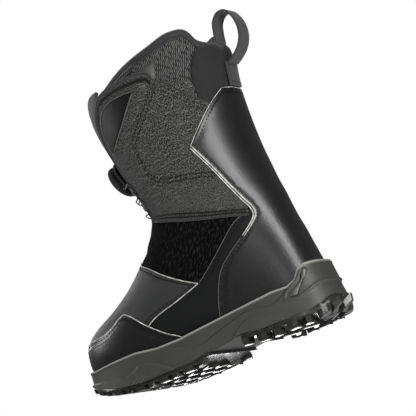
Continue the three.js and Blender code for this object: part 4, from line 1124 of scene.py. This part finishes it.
def edge_spots(y0, y1, pitch, inset, shapes, size):
    """Places along both edges of the tread, turned square to the edge."""
    out = []
    p, n, u = sole_plan(SOLE_LIP + 0.9 - inset)
    p[:, 1] += heel_rake(p)
    for side in (1, -1):
        m = np.flatnonzero(u * side > 0.0)
        m = m[np.argsort(np.abs(u[m]))]
        run = np.concatenate([[0], np.cumsum(np.linalg.norm(np.diff(p[m], axis=0), axis=1))])
        for k, at in enumerate(np.arange(pitch * 0.5, run[-1], pitch)):
            j = m[np.searchsorted(run, at) - 1]
            if y0 <= p[j, 1] <= y1:
                out.append((shapes[k % len(shapes)], p[j, 0], p[j, 1],
                            math.degrees(math.atan2(n[j, 1], n[j, 0])), *size))
    return out


fore = edge_spots(-160, 8, 15.2, 5.8, (block, notch), (1.1, 1.15))
for k, y in enumerate(np.arange(-128, 4, 19.0)):
    for x in (-26, 0, 26) if y > -118 else (-14, 14):
        fore.append((chevron, x, y, 0 if x == 0 else (14 if x > 0 else -14),
                     0.95 if abs(x) > 1 else 1.05, 1.0))
lugs("forefoot_lugs", fore, PLATE["forefoot"][2])
heel = edge_spots(54, 160, 17.0, 6.0, (block, notch), (1.15, 1.15))
for y in (66, 88, 110):
    heel.append((chevron, 0, y, 180, 1.5, 1.25))
heel.append((claw, 0, 132, 180, 1.0, 1.0))
lugs("heel_lugs", heel, PLATE["heel"][2])

# ---- Cuff ---------------------------------------------------------------------------
# Heather canvas: charcoal polyester with slubs of lighter yarn, faced on foam. The rear
# panel runs under the wing, which wraps forward over the tongue and carries a film patch.
canvas = finish("heather_canvas", {"Roughness": 0.9, "Specular IOR Level": 0.15, "Sheen Weight": 0.12})
flat = put(canvas, "UVMap", uv_map="flat").outputs["UV"]
weft_place = put(canvas, "Mapping", {"Vector": flat, "Scale": (820.0, 1700.0, 1.0)})
weft = put(canvas, "TexNoise", {"Vector": weft_place.outputs["Vector"], "Scale": 1.0, "Detail": 2.0})
warp_place = put(canvas, "Mapping", {"Vector": flat, "Scale": (1900.0, 900.0, 1.0)})
warp = put(canvas, "TexNoise", {"Vector": warp_place.outputs["Vector"], "Scale": 1.0, "Detail": 2.0})
both = put(canvas, "Math", {0: weft.outputs["Fac"], 1: warp.outputs["Fac"]}, operation="ADD")
slub = put(canvas, "MapRange", {"Value": both.outputs["Value"], "From Min": 0.9, "From Max": 1.25},
           interpolation_type="SMOOTHSTEP")
yarn_place = put(canvas, "Mapping", {"Vector": flat, "Scale": (90.0, 1100.0, 1.0)})
yarn = put(canvas, "TexNoise", {"Vector": yarn_place.outputs["Vector"], "Scale": 1.0, "Detail": 1.0})
thick_yarn = put(canvas, "MapRange", {"Value": yarn.outputs["Fac"], "From Min": 0.58, "From Max": 0.75,
                                      "To Max": 0.6})
light = put(canvas, "Math", {0: slub.outputs["Result"], 1: thick_yarn.outputs["Result"]},
            operation="ADD", use_clamp=True)
tone = put(canvas, "Mix", {"Factor": light.outputs["Value"], "A": linear("#0a0a0a"),
                           "B": linear("#5f5f5d")}, data_type="RGBA")
# Painted shade: the seam mask darkens the canvas to near-black down each sewn groove.
seam = put(canvas, "Attribute", attribute_name="seam").outputs["Fac"]
groove_painted_shade = put(canvas, "MapRange", {"Value": seam, "From Max": 0.7}).outputs["Result"]
tone = put(canvas, "Mix", {"Factor": groove_painted_shade, "A": tone.outputs[2], "B": linear("#020202")},
           data_type="RGBA")
bump = put(canvas, "Bump", {"Strength": 0.7, "Distance": 0.0006, "Height": both.outputs["Value"]})
wire(canvas, Base_Color=tone.outputs[2], Normal=bump.outputs["Normal"])
film = leather("tpu_film", "#090909", "#0f0f0f", 0.5, grain=500.0, strength=0.1,
               Specular_IOR_Level=0.18)
rim_gum = speckled("screen_printed_rim", "#444442", "#5f5f5c", 700, 0.45)

for side, tag in SIDES:
    # Rear panel, tucked under the wing, the collar and the backstay.
    seam = pattern(moved(WING_SEAM, -5, -3)[1:], side)
    top = pattern([(50, 299), *CUFF_TOP[4:]], side)
    stay = pattern([(106, 247.5), (104, 244), (92, 228), (77, 209), (90, 176), (94, 165)], side)
    rear = cut_panel("cuff_canvas_" + tag, joined(top, stay, seam[::-1]), -0.3, 1.6, canvas, roll=0.5)
    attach(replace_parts(rear, "cuff_panel_" + tag), "cuff")
    # Wing: one panel whose rear edge is the double-stitched seam.
    front = pattern(TONGUE_EDGE[1:], side)
    foot = pattern(CUFF_LOW[2:], side)
    heel_side = pattern([(99, 124.5), (101, 137), (88, 169)], side, sharp=True)
    seam = pattern(WING_SEAM, side)
    top = pattern([(60, 290), (56, 298.5), (48, 301), (29, 303), (-2, 303.5), (-14, 301), (-23, 292)],
                  side)
    lines = [beside(seam, 2.4 * side), beside(seam, 5.0 * side), beside(foot, 3.0 * side),
             beside(foot, 6.0 * side),
             beside(top, 3.2 * side), beside(front, 4.2 * side)]
    wing = cut_panel("wing_canvas_" + tag, joined(front, foot, heel_side, seam[::-1], top), 0.5, 1.8,
                     canvas, sewn=lines)
    stitches = sew("wing_stitching_" + tag, [(line, 0.05) for line in lines], length=2.7, width=1.8)
    # Its front and top edges are bound with tape; its foot is turned under.
    bound = joined(top, front)
    edge = pipe("wing_binding_" + tag, [(bound, 0.0)], tape, 1.5, squeeze=0.9)
    hem = pipe("wing_hem_" + tag, [(foot, 0.1)], canvas, 0.9)
    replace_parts(wing, "cuff_wing_" + tag)
    for piece in (wing, stitches, edge, hem):
        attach(piece, "cuff")
    # Smooth film welded over the wing's front corner, with a raised printed rim.
    corner = joined(pattern(FILM_CORNER, side))
    patch = cut_panel("wing_film_" + tag, corner, 1.3, 0.8, film, roll=0.5)
    trim = pipe("wing_film_rim_" + tag, [(corner, 1.25)], rim_gum, 0.45)
    for piece in (patch, trim):
        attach(piece, "cuff")
    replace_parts(patch, "wing_patch_" + tag)
    top_rows = sew("cuff_top_stitching_" + tag,
                   [(beside(pattern(CUFF_TOP[5:], side), -2.6 * side), -0.2),
                    (beside(pattern(CUFF_TOP[5:], side), -5.0 * side), -0.2)])
    lip = pipe("cuff_top_edge_" + tag, [(pattern(CUFF_TOP[4:], side), -0.4)], canvas, 0.8)
    flapped = cut_panel("canvas_gusset_" + tag,
                        joined(pattern([(62, 287), (72, 283), (92, 276)], side),
                               pattern([(92, 276), (95, 262), (92, 252)], side),
                               pattern([(92, 252), (76, 266), (62, 280)], side)), -2.0, 1.0, canvas,
                               roll=0.4)
    for piece in (top_rows, lip, flapped):
        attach(piece, "cuff")

# ---- Rear collar ---------------------------------------------------------------------
# Soft neoprene bonded to foam, stretched round the back of the leg and gathered a little
# at its lower corners. It puffs out between its seams.
neoprene = leather("neoprene", "#171717", "#212121", 0.75, grain=800.0, strength=0.6, Sheen_Weight=0.1,
                   Specular_IOR_Level=0.2)


def gathers(flat):
    """Short folds fanning out of the collar's lower corner."""
    corner = pattern([(97, 262), (101, 256)], 1)[0]
    p = flat.copy()
    p[:, 0] = AROUND - np.abs(p[:, 0] - AROUND)
    away = np.linalg.norm(p - corner, axis=1)
    turn = np.arctan2(p[:, 1] - corner[1], p[:, 0] - corner[0])
    return 0.9 * np.sin(turn * 11) * np.exp(-(away / 17) ** 2) + 0.5 * np.sin(p[:,
            0] / 7) * np.exp(-((p[:, 1] - 212) / 12) ** 2)


outer = pattern([(111, 262), (101, 247.5), (93, 254), (92, 262), (94, 276), (100.5, 295), (105.5, 304),
                 (112, 307.5)])
rim = pattern([(112, 307.5), (116, 308), (175, 308.5)])
under = pattern([(175, 254), (113, 258), (108, 256)])
half = joined(rim[::-1], outer[::-1], under[::-1])
collar = cut_panel("rear_collar_pad", joined(half, mirrored(half, True)), -1.6, 3.0, neoprene,
                   roll=1.4, pad=2.4, soft=7, swell=gathers)
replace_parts(collar, "rear_collar")
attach(collar, "cuff")

# ---- Pull loop ---------------------------------------------------------------------
# A strap of 22 mm nylon webbing, sewn in behind the collar and down over its face, so that
# it stands up as a loop. Fine slanting ribs of a herringbone weave.
webbing = finish("herringbone_webbing", {"Roughness": 0.75, "Sheen Weight": 0.15})
flat = put(webbing, "UVMap", uv_map="flat").outputs["UV"]
slant = put(webbing, "Mapping", {"Vector": flat, "Rotation": (0, 0, math.radians(42)),
                                 "Scale": (1.0, 1.0, 1.0)})
rib = put(webbing, "TexWave", {"Vector": slant.outputs["Vector"], "Scale": 190.0, "Distortion": 0.5})
yarn = put(webbing, "TexNoise", {"Vector": flat, "Scale": 900.0, "Detail": 2.0})
tone = put(webbing, "Mix", {"Factor": rib.outputs["Fac"], "A": linear("#0e0e0f"),
                            "B": linear("#2b2b2b")}, data_type="RGBA")
tone = put(webbing, "Mix", {"Factor": 0.4, "A": tone.outputs[2], "B": yarn.outputs["Color"]},
           data_type="RGBA", blend_type="OVERLAY")
bump = put(webbing, "Bump", {"Strength": 0.6, "Distance": 0.0005, "Height": rib.outputs["Fac"]})
wire(webbing, Base_Color=tone.outputs[2], Normal=bump.outputs["Normal"])


def strap(name, line, width, thick):
    """A flat strap along a line y z in mm, with its plain woven edges rounded."""
    centre = spline(line, 1.5)
    t = np.gradient(centre, axis=0)
    t /= np.linalg.norm(t, axis=1)[:, None]
    n = np.stack([-t[:, 1], t[:, 0]], 1)
    run = np.concatenate([[0], np.cumsum(np.linalg.norm(np.diff(centre, axis=0), axis=1))])
    inner = np.linspace(-width / 2 + 0.7, width / 2 - 0.7, 9)
    section = [(-width / 2, 0.0), *((x, thick / 2) for x in inner),
               (width / 2, 0.0), *((-x, -thick / 2) for x in inner)]
    points = [(x, c[0] + m[0] * h + FORWARD, c[1] + m[1] * h) for c, m in zip(centre, n) for x,
              h in section]
    piece = new_piece(name, np.array(points) / 1000, tube_faces(len(centre), len(section)), webbing)
    place = np.array([(x / 1000, r / 1000) for r in run for x, _ in section])
    corner = np.empty(len(piece.data.loops), int)
    piece.data.loops.foreach_get("vertex_index", corner)
    piece.data.uv_layers.new(name="flat").data.foreach_set("uv", place[corner].ravel())
    outward(piece)
    return piece


def oblong(middle, half_width, t0, t1, count):
    """A four-sided outline on the pattern, count points to a side."""
    left, right = middle - half_width, middle + half_width
    across, upright = np.linspace(left, right, count), np.linspace(t0, t1, count)
    return joined(np.stack([across, np.full(count, t0)], 1),
                  np.stack([np.full(count, right), upright], 1),
                  np.stack([across[::-1], np.full(count, t1)], 1),
                  np.stack([np.full(count, left), upright[::-1]], 1))


LOOP = [(116.9, 311.2), (118.4, 322), (121.5, 332), (129, 338.5), (137, 338), (143, 330), (146, 318),
        (144.5, 306), (137, 294.5), (127.5, 288), (122.2, 285.4)]
loop_strap = strap("pull_loop_strap", LOOP, 22, 1.9)
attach(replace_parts(loop_strap, "pull_loop"), "pull_loop")
for tag, z0, z1, lift in (("outer", 260, 286.5, 3.4), ("inner", 289, 311.6, -3.4)):
    t0, t1 = (pattern([(160, z)], sharp=True)[0, 1] for z in (z0, z1))
    tab = cut_panel("loop_tab_sewn_" + tag, oblong(AROUND, 11, t0, t1, 12), lift, 1.6, webbing,
                    roll=0.5)
    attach(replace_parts(tab, "loop_tab_" + tag), "cuff")
    rows = [(np.stack([np.linspace(AROUND - 8.5, AROUND + 8.5, 8), np.full(8, t)], 1), lift + 0.1)
            for t in (t0 + 2, t1 - 2)]
    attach(sew("loop_tab_stitching_" + tag, rows), "cuff")

# Tab at the top of the tongue: the same webbing, folded into a short loop.
t0, t1 = (pattern([(-80, z)], sharp=True)[0, 1] for z in (300, 318))
tab = cut_panel("tongue_pull_tab", oblong(0.0, 9, t0, t1, 10), 2.6, 3.4, webbing, roll=1.4)
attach(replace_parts(tab, "tongue_tab"), "tongue")

# ---- Closure dial --------------------------------------------------------------------
# Moulded nylon parts turned about one axis square to the tongue: housing with two lace
# ports, knob with a soft ribbed grip, and a cap that hides the steel axle screw.
FOOT = Vector((0, -0.03858, 0.22754))
AXIS = Vector((0, -0.95111, -0.30885))
UPRIGHT = AXIS.cross(Vector((1, 0, 0))).normalized()
GRIP_CORE = 0.0183         # the grip's ribs are cut outside this radius
moulded = speckled("moulded_nylon", "#0e0e0f", "#171718", 1800, 0.42)
soft_grip = speckled("soft_grip_rubber", "#131313", "#1d1d1d", 1500, 0.75)
repaint(moulded, *[f"lace_guide_{where}_{tag}" for where in ("upper", "middle") for _, tag in SIDES])
repaint(speckled("acetal", "#8f8f8c", "#a0a09c", 900, 0.45), "dial_spool", "dial_ratchet")
repaint(speckled("zinc_plated_steel", "#9c9c9a", "#b4b4b2", 700, 0.3, Metallic=1.0), "dial_axle_screw")


def turned(name, profile, steps=72, ribs=0, depth=0.0):
    """A part turned about the dial's axis: profile is radius and height above the tongue, in mm."""
    line = [FOOT + UPRIGHT * (r / 1000) + AXIS * (h / 1000) for r, h in profile]
    mesh = bpy.data.meshes.new(name)
    mesh.from_pydata([tuple(p) for p in line], [(k, k + 1) for k in range(len(line) - 1)], [])
    piece = bpy.data.objects.new(name, mesh)
    bpy.context.scene.collection.objects.link(piece)
    bpy.context.view_layer.objects.active = piece
    piece.select_set(True)
    bpy.ops.object.mode_set(mode="EDIT")
    bpy.ops.mesh.select_all(action="SELECT")
    bpy.ops.mesh.spin(steps=steps, angle=2 * math.pi, center=FOOT, axis=AXIS)
    bpy.ops.mesh.select_all(action="SELECT")
    bpy.ops.mesh.remove_doubles(threshold=0.00002)
    bpy.ops.mesh.normals_make_consistent(inside=False)
    bpy.ops.object.mode_set(mode="OBJECT")
    if ribs:
        for vertex in piece.data.vertices:
            arm = vertex.co - FOOT - AXIS * (vertex.co - FOOT).dot(AXIS)
            if arm.length > GRIP_CORE:
                turn_at = math.atan2(arm.dot(UPRIGHT), arm.x)
                vertex.co -= arm.normalized() * depth * (0.5 - 0.5 * math.cos(turn_at * ribs))
    piece.data.polygons.foreach_set("use_smooth", [True] * len(piece.data.polygons))
    bpy.ops.object.shade_smooth_by_angle(angle=math.radians(35))
    piece.select_set(False)
    return piece


for name, profile, node, body, slot, material, ribs in (
        ("dial_base", [(0, 0.2), (19.6, -0.6), (20, 0.4), (19.8, 1.6), (18.9, 2.3), (15.4, 2.4),
                       (15.4, 7.2), (15.1, 7.4), (14.2, 7.4), (14, 7.2), (14, 2.6), (0, 2.6)],
                       "dial_housing", "tongue", "black_plastic", moulded, 0),
        ("dial_turning_knob", [(3.4, 8.7), (15.9, 8.7), (15.9, 6.3), (16.1, 6.2), (17.4, 6.2),
                               (17.6, 6.5), (17.6, 12.0), (17.2, 12.6), (16.3, 13.1), (12.0, 13.3),
                               (10.6, 13.1), (10.5, 12.2), (3.4, 12.2), (3.4, 8.7)], "dial_knob",
                               "knob", "black_plastic", moulded, 0),
        ("dial_soft_grip", [(17.6, 6.6), (18.4, 6.5), (19.2, 7.1), (19.4, 8.0), (19.4, 10.2),
                            (19.1, 11.2), (18.3, 11.7), (17.6, 11.6), (17.6, 6.6)], "dial_grip",
                            "knob", "grip_rubber", soft_grip, 24),
        ("dial_centre_cap", [(0, 12.0), (10.1, 12.2), (10.2, 13.1), (9.9, 13.6), (9.2, 13.9),
                             (7.4, 13.9), (7.1, 13.6), (0, 13.6)], "dial_cap", "knob", "black_plastic",
                             moulded, 0)):
    piece = turned(name, profile, steps=144 if ribs else 72, ribs=ribs, depth=0.0009)
    piece.data.materials.append(material)
    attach(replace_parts(piece, node), body)

# ---- Lace ---------------------------------------------------------------------------
# One coated steel cord, 1.5 mm thick, held all the way: out of one port of the dial, down
# through a guide, across the tongue to the next, and back up the other side to the dial.
coated_cord = finish("coated_steel_cord", {"Base Color": linear("#1d1d1e"), "Roughness": 0.4})
lay = put(coated_cord, "TexWave", {"Vector": put(coated_cord, "TexCoord").outputs["Object"],
                                   "Scale": 500.0}, bands_direction="DIAGONAL")
wire(coated_cord, Normal=put(coated_cord, "Bump",
                             {"Strength": 0.6, "Distance": 0.0002,
                              "Height": lay.outputs["Fac"]}).outputs["Normal"])
LACE_LIFT = 1.9            # mm from the pattern's surface to the middle of a guide's bore
LACE_RADIUS = 0.00075
GUIDES = {"upper": (-18.5, 201), "middle": (-10.5, 180)}


def guide_run(where, side, down):
    """Four points through a guide's bore, on the pattern."""
    y, z = GUIDES[where]
    centre = pattern([(y, z)], side, sharp=True)[0]
    a, b = on_last(centre[None] + (0, 1.0)), on_last(centre[None] - (0, 1.0))
    per_mm = 2.0 / (np.linalg.norm(a - b) * 1000)
    return [centre + (0, per_mm * v * (1 if down else -1)) for v in (7, 3, -3, -7)]


def across_tongue(a, b, lift):
    """Points from one guide to the next, standing off the tongue by lift in the middle."""
    return [(*(a + (b - a) * f), LACE_LIFT + 0.2 + lift * math.sin(math.pi * f))
            for f in (0.2, 0.35, 0.5, 0.65, 0.8)]


def port(side):
    """From the spool out through the port, in the dial's own frame."""
    return [np.array(FOOT + Vector((side * x, 0, 0)) / 1000 + UPRIGHT * (y / 1000) + AXIS * (h / 1000))
            for x, y, h in ((11.8, 1.5, 4.6), (11.9, -2, 4.6), (13.6, -7, 4.6), (17.5, -12, 3.6),
                            (22.5, -17, 1.6))]


def round_cord(name, route):
    """A mesh tube as thick as the lace, along points in metres."""
    centre = spline(np.array(route) * 1000, 1.2) / 1000
    tangent = np.gradient(centre, axis=0)
    tangent /= np.linalg.norm(tangent, axis=1)[:, None]
    across = np.cross(tangent[0], (0, 0, 1.0))
    points, sides = [], 8
    for p, t in zip(centre, tangent):
        across = across - t * (across @ t)
        across /= np.linalg.norm(across)
        other = np.cross(t, across)
        points.extend(p + LACE_RADIUS * (math.cos(a) * across + math.sin(a) * other)
                      for a in np.arange(sides) * 2 * math.pi / sides)
    piece = new_piece(name, points, tube_faces(len(centre), sides), coated_cord)
    outward(piece)
    return piece


def on_tongue(spots):
    """Pattern points with their lift, as places in the boot's frame."""
    spots = np.array(spots)
    return list(on_last(spots[:, :2], spots[:, 2]))


def through(run):
    """A guide's points at the height of its bore."""
    return [(*p, LACE_LIFT) for p in run]


upper, lower = guide_run("upper", 1, True), guide_run("middle", -1, True)
back_lower, back_upper = guide_run("middle", 1, False), guide_run("upper", -1, False)
crossing = round_cord("lace_crossing", on_tongue(
    through(upper[1:]) + across_tongue(upper[-1], lower[0], 2.2) + through(lower)
    + across_tongue(lower[-1], back_lower[0], 0) + through(back_lower)
    + across_tongue(back_lower[-1], back_upper[0], 0) + through(back_upper[:-1])))
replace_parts(crossing, "lace")
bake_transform(crossing)
for side, tag in SIDES:
    run = guide_run("upper", side, True)[:2]
    cord = round_cord("lace_to_dial_" + tag, port(side) + on_tongue(through(run)))
    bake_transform(cord)
